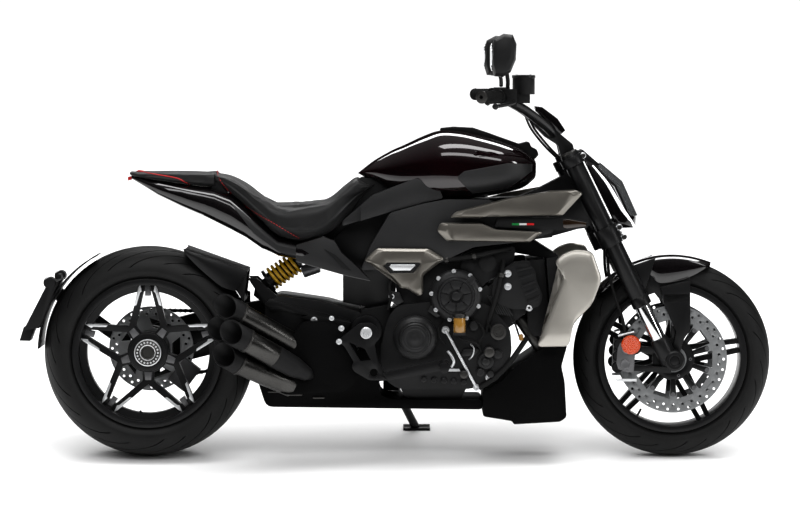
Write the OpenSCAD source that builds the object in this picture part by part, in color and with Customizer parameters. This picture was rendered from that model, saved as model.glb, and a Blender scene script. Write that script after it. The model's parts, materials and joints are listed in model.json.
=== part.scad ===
// Cruiser motorcycle with an open vee engine, single-sided swingarm and four-outlet silencer.
// Millimetres, +X forward, +Y to the rider's left, +Z up. Parked on its side stand, leaning left.

/* [Stance] */
// distance between the two wheel axles
wheelbase = 1593; // [1575:1:1610]
// lean to the left on the side stand, in degrees
lean_angle = 9; // [8:0.5:10]
// angle of the steering axis from the vertical, in degrees
rake = 26; // [25.5:0.25:26.5]
// distance of the front axle ahead of the steering axis
axle_offset = 31; // [28:1:34]

/* [Front wheel] */
// height of the front tyre above its rim
front_profile = 84; // [82:0.5:86]
// width of the front tyre
front_tyre_w = 120; // [112:1:124]
// width of the front rim between its lips
front_rim_w = 92; // [86:1:96]
// outer radius of a front brake disc
front_disc_r = 163; // [150:1:166]
// thickness of a front brake disc
front_disc_t = 5; // [4:0.5:6]
// distance of each front disc from the centre plane
front_disc_y = 74; // [72:0.5:76]
// width of a front spoke bar
front_spoke_w = 15; // [10:1:20]

/* [Rear wheel] */
// height of the rear tyre above its rim
rear_profile = 104; // [102:0.5:107]
// width of the rear tyre
rear_tyre_w = 240; // [224:1:244]
// width of the rear rim between its lips
rear_rim_w = 204; // [196:1:208]
// width of a rear spoke bar
rear_spoke_w = 19; // [14:1:24]
// outer radius of the rear brake disc
rear_disc_r = 130; // [122:1:134]
// thickness of the rear brake disc
rear_disc_t = 6; // [4:0.5:7]
// outer radius of the hollow rear axle
rear_axle_r = 30; // [26:1:34]
// teeth on the rear sprocket
sprocket_teeth = 43; // [40:1:46]
// pitch of the drive chain
chain_pitch = 15.875; // [15:0.125:16.5]

/* [Rims] */
// bead seat radius of both rims
rim_r = 216; // [213:1:218]
// wall of the rim barrel
rim_wall = 9; // [6:1:12]
// height of the rim lips above the bead seat
lip_h = 10; // [8:1:12]

/* [Fork] */
// distance between the fork legs
fork_spacing = 214; // [208:1:218]
// outer radius of the upper fork tubes
fork_outer_r = 28; // [26:0.5:30]
// radius of the bright fork stanchions
fork_inner_r = 22; // [20:0.5:24]
// distance of the fork legs ahead of the steering axis
clamp_offset = 17; // [15:1:20]
// radius of the front axle
front_axle_r = 13; // [11:0.5:15]
// radius of the steering stem
stem_r = 24; // [21:0.5:26]

/* [Handlebar] */
// radius of the handlebar tube
bar_r = 14; // [12:0.5:16]
// radius of a rubber grip
grip_r = 18; // [16.5:0.5:20]
// distance of the bar ends from the centre plane
bar_end_y = 425; // [405:1:440]

/* [Engine] */
// half width of the crankcase
case_half_w = 150; // [146:1:152]
// radius of the clutch cover
clutch_r = 78; // [70:1:80]
// depth of the clutch cover
clutch_depth = 52; // [40:1:60]
// radius of the gear cover
gear_r = 66; // [58:1:70]
// half width of a cylinder bank
bank_half_w = 132; // [120:1:140]

/* [Exhaust] */
// outer radius of a silencer can
can_r = 36; // [32:0.5:37]
// wall of an outlet
outlet_wall = 5; // [3:0.5:8]
// length of the silencer cans
can_l = 150; // [130:1:165]
// length of the black outlet sleeves
outlet_l = 78; // [60:1:90]

/* [Bodywork] */
// factor on the width of the fuel tank
tank_width = 1; // [0.96:0.01:1.03]
// factor on the width of the seat
seat_width = 1; // [0.94:0.01:1.04]
// factor on the width of the tail
tail_width = 1; // [0.94:0.01:1.04]
// half width of the backbone frame
spine_half_w = 70; // [66:1:74]
// thickness of a side blade
blade_t = 16; // [12:1:20]
// thickness of the mudguard shells
guard_t = 4; // [3:0.5:6]

/* [Suspension] */
// radius of the shock spring at the wire's centre
spring_r = 31; // [28:0.5:34]
// radius of the spring wire
wire_r = 5.5; // [4.5:0.25:6]
// turns of the shock spring
spring_turns = 6; // [5:1:7]

/* [Side stand] */
// radius of the side stand leg
stand_r = 13; // [11:0.5:15]
// thickness of the stand's foot plate
foot_t = 8; // [6:0.5:10]

/* [Hidden] */
$fn = 64;

// gap between neighbouring curved pieces
fit = 0.3;
front_x = wheelbase / 2;
rear_x = -wheelbase / 2;
front_tyre_r = rim_r + front_profile;
rear_tyre_r = rim_r + rear_profile;
front_z = front_tyre_r;
rear_z = rear_tyre_r;

// tyre crowns: shoulder radius where the elliptical crown meets the sidewall
front_shoulder_r = rim_r + front_profile * 0.357;
rear_shoulder_r = rim_r + rear_profile * 0.327;

// parked position: lift that keeps the leaning rear tyre on the ground
rear_crown = rear_tyre_r - rear_shoulder_r;
lift = sqrt(pow(rear_crown * cos(lean_angle), 2) + pow(rear_tyre_w / 2 * sin(lean_angle), 2))
  - rear_crown * cos(lean_angle);
park_x = 47;
park_y = -187;

// steering axis: foot of the perpendicular from the front axle
head_x = front_x - axle_offset * cos(rake);
head_z = front_z - axle_offset * sin(rake);
fork_y = fork_spacing / 2;
lower_clamp_t = 395;
lower_clamp_h = 58;
upper_clamp_t = 662;
upper_clamp_h = 28;
fork_top_t = 700;
slider_t = 206;

// distance of the headlight's back ahead of the steering axis
lamp_back = 52;

// swingarm pivot, crank centre and drive sprocket
pivot_x = -133;
pivot_z = 392;
crank_x = 130;
crank_z = 372;
drive_x = -62;
drive_z = 378;
chain_y = 190;
sprocket_r = chain_pitch / 2 / sin(180 / sprocket_teeth);
drive_r = 38;

// angles of the brake calipers round their axles
caliper_front = 176;
caliper_angle = -38;

// silencer axis
can_base = [-392, -194, 305];
can_rise = 29;
can_turn = 24;
can_spread = [[0, 64, 33], [-40, 0, 4], [46, 0, -4], [0, -64, -33]];
can_front = [-40, -40, 40, -70];
can_tilt = [0, 0, 0, 5];
cone_l = 140;

// shock axis in the side view: lower spring seat, slope and length between the seats
shock_low = [-436, 531];
shock_slope = 34;
shock_l = 116;
function shock_at(along, across) = shock_low
  + along * [cos(shock_slope), sin(shock_slope)] + across * [-sin(shock_slope), cos(shock_slope)];

// side stand: pivot low on the left, foot on the ground ahead of it, and its folded direction
stand_pivot = [-60, case_half_w + 22, 214];
stand_foot_y = case_half_w + 154;
stand_foot = [20, stand_foot_y, stand_foot_y * tan(lean_angle) - lift / cos(lean_angle)];
stand_folded = [-225, 10, -6];
stand_axis = cross(stand_foot - stand_pivot, stand_folded);
stand_pin_r = 8;

function unit(v) = v / norm(v);
function lerp(a, b, t) = a + (b - a) * t;

// closed outline with every corner cut back by r and bent round it
function rounded(p, r, n = 3) = [
  for (i = [0 : len(p) - 1])
    let (a = p[(i + len(p) - 1) % len(p)], b = p[i], c = p[(i + 1) % len(p)])
    let (k = min(r, 0.45 * norm(a - b), 0.45 * norm(c - b)))
    let (s = b + unit(a - b) * k, e = b + unit(c - b) * k)
    for (j = [0 : n]) let (t = j / n) (1 - t) * (1 - t) * s + 2 * t * (1 - t) * b + t * t * e];

// smooth curve through the points, n steps to a span
function smooth(p, n) = [
  for (i = [0 : len(p) - 2]) for (j = [0 : n - 1]) spline(p, i, j / n), p[len(p) - 1]];
function spline(p, i, t) =
  let (a = p[max(i - 1, 0)], b = p[i], c = p[i + 1], d = p[min(i + 2, len(p) - 1)])
  0.5 * (2 * b + (c - a) * t + (2 * a - 5 * b + 4 * c - d) * t * t
    + (3 * b - a - 3 * c + d) * t * t * t);

// body section across x: top, widest height, bottom, half width and squareness
function body_ring(s, n, grow = 0) = [
  for (j = [0 : n - 1])
    let (a = 360 * j / n, c = cos(a), k = sin(a))
    let (h = k >= 0 ? s[1] - s[2] + grow : s[2] - s[3] + grow)
    [s[0], (s[4] + grow) * sign(c) * pow(abs(c), s[5]), s[2] + h * sign(k) * pow(abs(k), s[5])]];

module loft(rings) {
  n = len(rings[0]);
  m = len(rings);
  points = [for (r = rings) for (p = r) p];
  sides = [for (i = [0 : m - 2]) for (j = [0 : n - 1])
    [i * n + j, (i + 1) * n + j, (i + 1) * n + (j + 1) % n, i * n + (j + 1) % n]];
  first = [[for (j = [0 : n - 1]) j]];
  last = [[for (j = [0 : n - 1]) m * n - 1 - j]];
  polyhedron(points, concat(sides, first, last));
}

// panel with a domed outer face: the outline at each distance from the centre plane, shrunk about a point
module domed(p, about, rows) {
  loft([for (r = rows) [for (q = p)
    [about[0] + (q[0] - about[0]) * r[1], r[0], about[1] + (q[1] - about[1]) * r[1]]]]);
}

// round tube along a path of points; side is any direction the path never runs along
function tube_rings(path, r, side, n) = [
  for (i = [0 : len(path) - 1])
    let (t = unit(path[min(i + 1, len(path) - 1)] - path[max(i - 1, 0)]))
    let (u = unit(cross(t, side)), v = cross(t, u))
    [for (j = [0 : n - 1]) path[i] + r * (cos(360 * j / n) * u + sin(360 * j / n) * v)]];

module tube(path, r, side = [0, 1, 0], n = 12) {
  loft(tube_rings(path, r, side, n));
}

module parked() {
  translate([park_x, park_y, lift])
    rotate([-lean_angle, 0, 0])
      children();
}

// plate cut in the side view, between two distances from the centre plane
module plate(p, y0, y1) {
  translate([0, y1, 0])
    rotate([90, 0, 0])
      linear_extrude(y1 - y0)
        polygon(p);
}

module both_sides() {
  children();
  mirror([0, 1, 0])
    children();
}

module rod_y(x, z, r, y0, y1) {
  translate([x, y1, z])
    rotate([90, 0, 0])
      cylinder(r = r, h = y1 - y0);
}

// local frame of the steering axis: x ahead of it, z up along it
module on_head() {
  translate([head_x, 0, head_z])
    rotate([0, -rake, 0])
      children();
}

// local frame of the side stand's hinge, z along its pin
module on_stand() {
  translate(stand_pivot)
    rotate([0, acos(stand_axis[2] / norm(stand_axis)), atan2(stand_axis[1], stand_axis[0])])
      children();
}

module around_rear() {
  translate([rear_x, 0, rear_z])
    rotate([90, 0, 0])
      children();
}

module around_front() {
  translate([front_x, 0, front_z])
    rotate([90, 0, 0])
      children();
}

// tyre half section: elliptical crown, sidewalls down to the bead inside the rim lips
function tyre_section(r, w, shoulder, rim_w) = concat(
  [for (a = [0 : 10 : 180]) [shoulder + (r - shoulder) * sin(a), w / 2 * cos(a)]],
  [[rim_r + lip_h + 2, -rim_w / 2 + fit], [rim_r + fit, -rim_w / 2 + fit],
    [rim_r + fit, rim_w / 2 - fit], [rim_r + lip_h + 2, rim_w / 2 - fit]]);

module rim_barrel(rim_w, lip_t) {
  outer = rim_w / 2 + lip_t;
  rotate_extrude()
    polygon([[rim_r, -rim_w / 2], [rim_r, rim_w / 2], [rim_r + lip_h, rim_w / 2],
      [rim_r + lip_h, outer], [rim_r - rim_wall, outer], [rim_r - rim_wall, -outer],
      [rim_r + lip_h, -outer], [rim_r + lip_h, -rim_w / 2]]);
}

module ring(r_out, r_in, h) {
  linear_extrude(h)
    difference() {
      circle(r_out);
      circle(r_in);
    }
}

module spoke_bar(a, b, w) {
  d = b - a;
  translate(a)
    rotate(atan2(d[1], d[0]))
      translate([0, -w / 2])
        square([norm(d), w]);
}

// FRONT WHEEL

module front_tyre() {
  color([0.06, 0.06, 0.06])
    parked()
      around_front()
        rotate_extrude()
          polygon(tyre_section(front_tyre_r, front_tyre_w, front_shoulder_r, front_rim_w));
}

module front_rim() {
  ring_r = rim_r - rim_wall;
  color([0.08, 0.08, 0.09])
    parked()
      around_front() {
        difference() {
          union() {
            rim_barrel(front_rim_w, 8);
            translate([0, 0, -16])
              linear_extrude(32)
                union() {
                  circle(40);
                  for (k = [0 : 4]) {
                    rotate(82 + 72 * k) {
                      spoke_bar([30, 22], [ring_r + 2, 14], front_spoke_w);
                      spoke_bar([30, -22], [ring_r + 2, -14], front_spoke_w);
                    }
                  }
                }
            translate([0, 0, -front_disc_y + fit])
              cylinder(r = 38, h = 2 * front_disc_y - 2 * fit);
          }
          translate([0, 0, -100])
            cylinder(r = front_axle_r + fit, h = 200);
        }
      }
}

module front_disc() {
  linear_extrude(front_disc_t)
    difference() {
      circle(front_disc_r);
      circle(20);
      for (k = [0 : 9]) {
        rotate(36 * k)
          polygon([[58, -9], [66, -14], [118, -26], [118, 26], [66, 14], [58, 9]]);
      }
      for (k = [0 : 29]) {
        rotate(12 * k) {
          translate([front_disc_r - 10, 0])
            circle(r = 4, $fn = 24);
          rotate(6)
            translate([front_disc_r - 24, 0])
              circle(r = 4, $fn = 24);
        }
      }
    }
}

module front_discs() {
  color([0.55, 0.55, 0.55])
    parked()
      around_front() {
        translate([0, 0, front_disc_y])
          front_disc();
        translate([0, 0, -front_disc_y - front_disc_t])
          front_disc();
      }
}

// REAR WHEEL

module rear_tyre() {
  color([0.06, 0.06, 0.06])
    parked()
      around_rear()
        rotate_extrude()
          polygon(tyre_section(rear_tyre_r, rear_tyre_w, rear_shoulder_r, rear_rim_w));
}

rear_hub_r = 58;
rear_disc_y = 66;

module rear_star() {
  outer = rim_r - rim_wall + 2;
  for (k = [0 : 4]) {
    rotate(90 + 72 * k) {
      spoke_bar([69, 50], [outer, 16], rear_spoke_w);
      spoke_bar([69, -50], [outer, -16], rear_spoke_w);
      rotate(36)
        spoke_bar([40, 0], [88, 0], 34);
    }
  }
}

module rear_rim() {
  color([0.08, 0.08, 0.09])
    parked()
      around_rear()
        difference() {
          union() {
            rim_barrel(rear_rim_w, 8);
            translate([0, 0, 36])
              linear_extrude(30)
                union() {
                  circle(rear_hub_r + 5);
                  rear_star();
                }
            translate([0, 0, 30])
              ring(rim_r - 1, 186, 40);
            translate([0, 0, -rear_disc_y + fit])
              cylinder(r = rear_hub_r, h = rear_disc_y + 72);
          }
          translate([0, 0, -100])
            cylinder(r = rear_axle_r + fit, h = 200);
        }
}

module rear_disc() {
  color([0.5, 0.5, 0.5])
    parked()
      around_rear()
        translate([0, 0, -rear_disc_y - rear_disc_t])
          linear_extrude(rear_disc_t)
            difference() {
              circle(rear_disc_r);
              circle(rear_axle_r + fit);
              for (k = [0 : 4]) {
                rotate(72 * k)
                  polygon([[64, -16], [88, -36], [88, 36], [64, 16]]);
              }
              for (k = [0 : 23]) {
                rotate(15 * k) {
                  translate([rear_disc_r - 10, 0])
                    circle(r = 4, $fn = 24);
                  rotate(7.5)
                    translate([rear_disc_r - 23, 0])
                      circle(r = 4, $fn = 24);
                }
              }
            }
}

module rear_sprocket() {
  tooth = 360 / sprocket_teeth;
  gear = [for (k = [0 : sprocket_teeth - 1]) for (q = [[0, -6], [0.28, -6], [0.5, 4], [0.62, 4], [0.84, -6]])
    let (a = tooth * (k + q[0]), r = sprocket_r + q[1]) [r * cos(a), r * sin(a)]];
  color([0.25, 0.25, 0.26])
    parked()
      around_rear()
        translate([0, 0, -chain_y - 4])
          linear_extrude(8)
            difference() {
              polygon(gear);
              circle(rear_axle_r + fit);
              for (k = [0 : 5]) {
                rotate(60 * k)
                  polygon([[52, -12], [82, -26], [82, 26], [52, 12]]);
              }
            }
}

module rear_axle() {
  color([0.6, 0.6, 0.58])
    parked()
      around_rear()
        difference() {
          union() {
            translate([0, 0, -chain_y - 20])
              cylinder(r = rear_axle_r, h = chain_y + 94);
            translate([0, 0, 72 + fit])
              cylinder(r = 41, h = 15);
            translate([0, 0, -chain_y - 20])
              cylinder(r = 40, h = 16 - fit);
          }
          translate([0, 0, 40])
            cylinder(r = 22, h = 60, $fn = 12);
          translate([0, 0, -chain_y - 30])
            cylinder(r = 22, h = 40, $fn = 12);
        }
}

// FRAME AND ENGINE

module main_frame() {
  top_t = upper_clamp_t - 1;
  low_t = lower_clamp_t + lower_clamp_h + 1;
  low = [head_x - sin(rake) * (low_t + 15), head_z + cos(rake) * (low_t + 15)];
  top = [head_x - sin(rake) * (top_t - 15), head_z + cos(rake) * (top_t - 15)];
  neck = [low, top, [380, 812], [300, 780], [300, 664], [430, 671]];
  spine = [[-250 + fit, 650], [-203, 690], [-160, 738], [-110, 775], [-30, 785.5], [225, 785.5],
    [330, 790], [405, 770], [430, 670], [200, 640], [60, 585], [-140, 575], [-200, 590], [-250 + fit, 596]];
  lug = [shock_at(shock_l + 29, 22), shock_at(shock_l + 29, -22), [-240, 598], [-240, 640]];
  casting = [[-205, 595], [-205, 472], [-140, 460], [-84, 446], [-62, 474], [-45, 484], [-45, 590]];
  color([0.1, 0.1, 0.1])
    parked()
      difference() {
        union() {
          plate(spine, -spine_half_w, spine_half_w);
          plate(neck, -32, 32);
          plate(lug, -24, 24);
          plate(casting, 4 - spine_half_w, spine_half_w - 4);
          on_head()
            translate([0, 0, low_t])
              cylinder(r = 36, h = top_t - low_t);
        }
        on_head()
          translate([0, 0, low_t - 5])
            cylinder(r = stem_r + fit, h = top_t - low_t + 10);
      }
}

case_outline = [[-84, 250], [-92, 330], [-70, 430], [-40, 470], [60, 480], [150, 500], [235, 470], [300, 400],
  [305, 320], [262, 240], [180, 216], [-40, 216]];

// inlet bodies that fill the vee on both sides of the backbone
inlet_outline = [[-38, 462], [-44, 520], [-60, 566], [-40, 573], [56, 577], [150, 619], [190, 638], [300, 650],
  [316, 640], [312, 604], [294, 580], [262, 560], [222, 531], [190, 480], [60, 462]];

// cylinder bank frame: along the bank from the crank centre
module on_bank(angle) {
  translate([crank_x, 0, crank_z])
    rotate([0, -angle, 0])
      children();
}

module engine_case() {
  color([0.16, 0.16, 0.17])
    parked()
      difference() {
        union() {
          plate(rounded(case_outline, 22), -case_half_w, case_half_w);
          plate([[-36, 230], [-20, 190], [30, 182], [150, 182], [178, 230]], -110, 110);
          on_bank(35)
            translate([90, -bank_half_w, -72])
              cube([82, 2 * bank_half_w, 144]);
          on_bank(125)
            translate([80, -spine_half_w - 20, -70])
              cube([54, 2 * spine_half_w + 40, 130]);
          both_sides() {
            plate(rounded(inlet_outline, 8), spine_half_w + 22, bank_half_w - 4);
            rod_y(232, 596, 26, bank_half_w - 10, bank_half_w + 8);
            rod_y(170, 586, 20, bank_half_w - 10, bank_half_w + 6);
          }
          rod_y(drive_x, drive_z, drive_r - 7.4, case_half_w - 5, chain_y + 8);
          plate([[-84, 262], [-84, 186], [-36, 186], [-36, 262]], case_half_w - 36, case_half_w - 6);
          on_stand()
            translate([0, 0, -44])
              cylinder(r = stand_pin_r, h = 62);
        }
        rod_y(pivot_x, pivot_z, 52, -300, 300);
      }
}

head_cover = [[243, 498], [248, 542], [267, 570], [310, 601], [354, 605], [376, 570], [377, 548], [397, 498],
  [388, 467], [357, 458], [304, 458], [266, 472]];

module cylinder_heads() {
  color([0.2, 0.2, 0.21])
    parked() {
      union() {
        on_bank(35) {
          translate([172 + fit, -bank_half_w, -66])
            cube([50, 2 * bank_half_w, 132]);
          translate([220, -bank_half_w + 8, -56])
            cube([34, 2 * bank_half_w - 16, 112]);
        }
        both_sides() {
          rod_y(318, 538, 34, bank_half_w - 20, bank_half_w + 4);
          plate(rounded(head_cover, 10), bank_half_w + fit, bank_half_w + 22);
          plate(rounded([[300, 590], [322, 560], [346, 500], [360, 470], [386, 476], [392, 498], [372, 546],
            [370, 568], [350, 597], [316, 596]], 8), bank_half_w + 20, bank_half_w + 27);
          for (k = [0 : 4]) {
            plate([[318 + 8 * k, 578 - 24 * k], [364 + 6 * k, 588 - 22 * k], [365 + 6 * k, 582 - 22 * k],
              [320 + 8 * k, 571 - 24 * k]], bank_half_w + 24, bank_half_w + 33);
          }
        }
      }
      on_bank(125)
        translate([134 + fit, -spine_half_w - 18, -62])
          cube([36, 2 * spine_half_w + 36, 58]);
    }
}

module round_cover(x, z, r, depth) {
  translate([x, 0, z])
    rotate([90, 0, 0])
      rotate_extrude()
        polygon([[0, 0], [r, 0], [r, depth * 0.35], [r - 6, depth * 0.5], [r * 0.74, depth * 0.62],
          [r * 0.7, depth * 0.95], [r * 0.64, depth], [r * 0.4, depth], [r * 0.36, depth * 0.88],
          [0, depth * 0.88]]);
}

module bolt_ring(x, z, r, count, y, bolt_r, h) {
  for (k = [0 : count - 1]) {
    rod_y(x + r * cos(360 * k / count + 15), z + r * sin(360 * k / count + 15), bolt_r, y - h, y);
  }
}

module engine_covers() {
  color([0.22, 0.22, 0.23])
    parked() {
      translate([0, -case_half_w, 0]) {
        union() {
          round_cover(136, 500, clutch_r, clutch_depth);
          bolt_ring(136, 500, clutch_r - 4, 9, 0, 7, clutch_depth * 0.5);
        }
        round_cover(13, 374, gear_r, clutch_depth + 8);
      }
      translate([0, case_half_w, 0])
        mirror([0, 1, 0])
          union() {
            round_cover(150, 378, 105, 58);
            bolt_ring(150, 378, 100, 10, 0, 7, 29);
          }
    }
}

module engine_fittings() {
  color([0.3, 0.3, 0.3])
    parked() {
      rod_y(263, 392, 24, -case_half_w - 42, -case_half_w);
      rod_y(236, 330, 16, -case_half_w - 30, -case_half_w);
      rod_y(160, 262, 12, -case_half_w - 22, -case_half_w);
      rod_y(240, 262, 10, -case_half_w - 18, -case_half_w);
      translate([128, -case_half_w - 72, 384])
        cube([36, 72, 8]);
    }
}

// RADIATOR, BELLY AND EXHAUST

belly_top = 348.5;
rad_outline = [[front_x - 388, 610], [front_x - 352, 616], [front_x - 322, belly_top + fit],
  [front_x - 368, belly_top + fit]];

module radiator() {
  color([0.12, 0.12, 0.12])
    parked()
      union() {
        plate(rad_outline, -140, 140);
        plate([[300, 652.6], [372, 662], [front_x - 352, 616], [front_x - 388, 606], [300, 625]], -60, 60);
      }
}

shroud_outline = [[front_x - 368, 602], [front_x - 340, 628], [front_x - 304, 641], [front_x - 252, 634],
  [front_x - 223, 551], [front_x - 252, 475], [front_x - 309, 415], [front_x - 322, 347],
  [front_x - 420, 345], [front_x - 337, 561]];

module radiator_shrouds() {
  color([0.45, 0.43, 0.39])
    parked()
      both_sides()
        union() {
          domed(rounded(shroud_outline, 16), [front_x - 300, 500],
            [[176, 0.97], [180, 1], [186, 0.985], [191, 0.9], [193, 0.72]]);
          plate([[front_x - 358, 480], [front_x - 342, 480], [front_x - 334, 400], [front_x - 370, 400]],
            140 + fit, 178.2);
        }
}

belly_outline = [[300, 270], [412, belly_top], [front_x - 324, belly_top], [front_x - 342, 284],
  [front_x - 332, 238], [front_x - 326, 130], [front_x - 345, 116], [311, 108], [306, 118], [218, 132],
  [218, 210], [270, 236]];

module belly_pan() {
  color([0.05, 0.05, 0.05])
    parked()
      plate(rounded(belly_outline, 8), -138, 138);
}

// the belly pan's slanted top lies square to the front cylinder bank
header_low = -(300 - crank_x) * sin(35) + (270 - crank_z) * cos(35) + fit;

module exhaust_headers() {
  color([0.35, 0.33, 0.31])
    parked()
      on_bank(35)
        for (y = [-96, -48, 48, 96]) {
          translate([193, y, header_low])
            cylinder(r = 17, h = -66 - fit - header_low);
        }
}

box_outline = [[-462, 240], [-436, 160], [218 - fit, 152], [218 - fit, 181.7], [-40, 181.7], [-92, 190],
  [-112, 330], [-380, 330], [-450, 300]];

collector_outline = [[-414, 232], [-404, 290], [-372, 350], [-330, 420], [-230, 424], [-170, 360], [-152, 262],
  [-190, 216], [-380, 204]];

module exhaust_box() {
  color([0.09, 0.09, 0.09])
    parked()
      difference() {
        union() {
          plate(rounded(box_outline, 20), -128, 110);
          plate(rounded(collector_outline, 18), -210, -124);
        }
        on_cans() {
          for (k = [0, 1, 3]) {
            can_form(k, can_r - 1 + fit, can_front[k] - fit);
          }
          cone_form(fit);
          translate([-300, -300, 12])
            cube([600, 600, 300]);
        }
      }
}

module on_cans() {
  translate(can_base)
    rotate([0, 0, 180 + can_turn])
      rotate([0, 90 - can_rise, 0])
        rotate([0, 0, 90])
          children();
}

// one can: tilted about its back end, from its own front end
module can_form(k, r, front) {
  back = can_l + can_spread[k][2];
  translate([can_spread[k][0], can_spread[k][1], back])
    rotate([can_tilt[k], 0, 0])
      translate([0, 0, front - back])
        cylinder(r = r, h = back - front - fit - r * sin(can_tilt[k]));
}

// pointed cone ahead of the outer can
module cone_form(grow) {
  back = can_front[2] - fit;
  translate([can_spread[2][0], 0, 0])
    rotate_extrude()
      polygon([[0, back - cone_l - grow], [8 + grow, back - cone_l - grow], [21 + grow, back - cone_l * 0.86],
        [32 + grow, back - cone_l * 0.5], [can_r - 0.5 + grow, back], [0, back]]);
}

module silencer_cover() {
  color([0.07, 0.07, 0.07])
    parked()
      on_cans()
        cone_form(0);
}

module silencer_cans() {
  color([0.62, 0.6, 0.57])
    parked()
      on_cans()
        for (k = [0 : 3]) {
          can_form(k, can_r - 1, can_front[k]);
        }
}

module silencer_outlets() {
  color([0.05, 0.05, 0.05])
    parked()
      on_cans()
        for (p = can_spread) {
          translate([p[0], p[1], can_l + p[2]])
            difference() {
              cylinder(r = can_r + 0.5, h = outlet_l);
              translate([0, 0, 12])
                cylinder(r = can_r - outlet_wall, h = outlet_l);
            }
        }
}

// BODYWORK

tank_rows = [[-160, 864, 863, 861.5, 42, 0.8], [-135, 884, 866, 848, 68, 0.8], [-106, 905, 868, 834, 88, 0.78],
  [-60, 931, 866, 806, 106, 0.75], [-20, 949, 866, 792, 124, 0.72], [40, 977, 870, 786, 152, 0.7],
  [90, 993, 874, 786, 172, 0.68], [150, 991, 874, 786, 186, 0.66], [210, 979, 874, 790, 190, 0.66],
  [280, 960, 876, 802, 180, 0.68], [340, 936, 882, 818, 150, 0.72], [378, 906, 884, 846, 104, 0.8]];

module tank_form(grow, n = 32) {
  rows = smooth([for (r = tank_rows) [r[0], r[1], r[2], r[3], r[4] * tank_width, r[5]]], 2);
  loft([for (r = rows) body_ring(r, n, grow)]);
}

module fuel_tank() {
  color([0.1, 0.03, 0.03])
    parked()
      tank_form(0);
}

module tank_console() {
  color([0.12, 0.12, 0.12])
    parked()
      difference() {
        plate([[86, 985], [92, 999], [130, 1003], [190, 1000], [235, 985], [330, 951], [330, 930], [100, 960]],
          -34, 34);
        tank_form(0.4);
      }
}

knee_outline = [[-206, 721], [-114, 800], [17, 852], [84, 822], [99, 791], [40, 778], [-62, 750], [-206, 706]];

module knee_panels() {
  color([0.2, 0.2, 0.21])
    parked()
      both_sides()
        difference() {
          plate(rounded(knee_outline, 10), spine_half_w + fit, 148);
          tank_form(0.5);
          seat_form(0.5);
          plate([[-250, 850], [-250, 700], [-150, 700], [-150, 850]], 118, 200);
        }
}

side_outline = [[-150, 575], [-120, 650], [-62, 748], [40, 776], [105, 788], [230, 788], [300, 760], [420, 735],
  [430, 690], [330, 660], [190, 645], [60, 585]];

module side_covers() {
  color([0.11, 0.11, 0.11])
    parked()
      both_sides()
        difference() {
          plate(rounded(side_outline, 10), spine_half_w + fit, 158);
          tank_form(0.5);
          plate(rounded(knee_outline, 10), 0, 300);
          on_bank(125)
            translate([0, -300, -70])
              cube([180, 600, 130]);
        }
}

upper_blade = [[116, 735], [134, 753], [290, 794], [416, 816], [492, 819], [515, 807], [453, 740], [220, 740],
  [209, 733]];
lower_blade = [[78, 695], [88, 720], [209, 720], [255, 700], [397, 692], [355, 660], [108, 664]];

module intake_blades() {
  color([0.48, 0.46, 0.42])
    parked()
      both_sides() {
        union() {
          domed(rounded(upper_blade, 8), [330, 776], [[190, 0.98], [192, 1], [196, 0.99], [190 + blade_t, 0.86]]);
          plate([[150, 744], [240, 744], [240, 757], [150, 750]], 158 + fit, 192);
        }
        union() {
          domed(rounded(lower_blade, 8), [250, 692], [[184, 0.98], [186, 1], [190, 0.99], [184 + blade_t, 0.86]]);
          plate([[120, 674], [320, 672], [320, 690], [120, 712]], 158 + fit, 186);
        }
      }
}

module front_indicators() {
  color([0.08, 0.08, 0.08])
    parked()
      both_sides()
        plate(rounded([[250, 706], [262, 735], [470, 735], [532, 722], [530, 704], [470, 697]], 6),
          158 + fit, 183);
}

vee_outline = [[-141, 606], [-101, 643], [55, 641], [103, 611], [38, 560], [38, 506], [26, 496], [-11, 520],
  [-30, 521], [-61, 554]];

badge_outline = [[-84, 590], [-73, 602], [28, 602], [34, 595], [10, 567], [-64, 566]];

module vee_covers() {
  color([0.48, 0.46, 0.42])
    parked()
      both_sides()
        difference() {
          domed(rounded(vee_outline, 8), [-19, 585], [[158 + fit, 0.98], [162, 1], [169, 0.98], [176, 0.84]]);
          plate(badge_outline, 173, 190);
        }
}

seat_rows = [[-592, 872, 852, 838, 92, 0.7], [-544, 863, 832, 800, 108, 0.68], [-496, 839, 802, 760, 128, 0.66],
  [-447, 801, 762, 715, 148, 0.64], [-398, 771, 726, 672, 164, 0.62], [-325, 776, 722, 656, 172, 0.62],
  [-252, 794, 740, 680, 160, 0.64], [-203, 833, 778, 715, 126, 0.68], [-165, 858.5, 814, 765, 100, 0.72],
  [-135, 845.5, 824, 800, 84, 0.76], [-108, 832.5, 829.5, 826, 66, 0.8]];

module seat_form(grow, n = 28) {
  rows = smooth([for (r = seat_rows) [r[0], r[1], r[2], r[3], r[4] * seat_width, r[5]]], 2);
  loft([for (r = rows) body_ring(r, n, grow)]);
}

module seat() {
  color([0.05, 0.05, 0.05])
    parked()
      seat_form(0);
}

pad_rows = [[-851, 868, 863, 858, 52, 0.7], [-836, 874, 862, 852, 78, 0.66], [-764, 876, 856, 841.5, 96, 0.62],
  [-690, 876, 850, 831, 104, 0.62], [-620, 874, 844, 821.5, 100, 0.64], [-593, 871, 842, 818, 94, 0.68]];

module pad_form(grow) {
  loft([for (r = smooth(pad_rows, 2)) body_ring(r, 28, grow)]);
}

module pillion_pad() {
  color([0.05, 0.05, 0.05])
    parked()
      pad_form(0);
}

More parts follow.
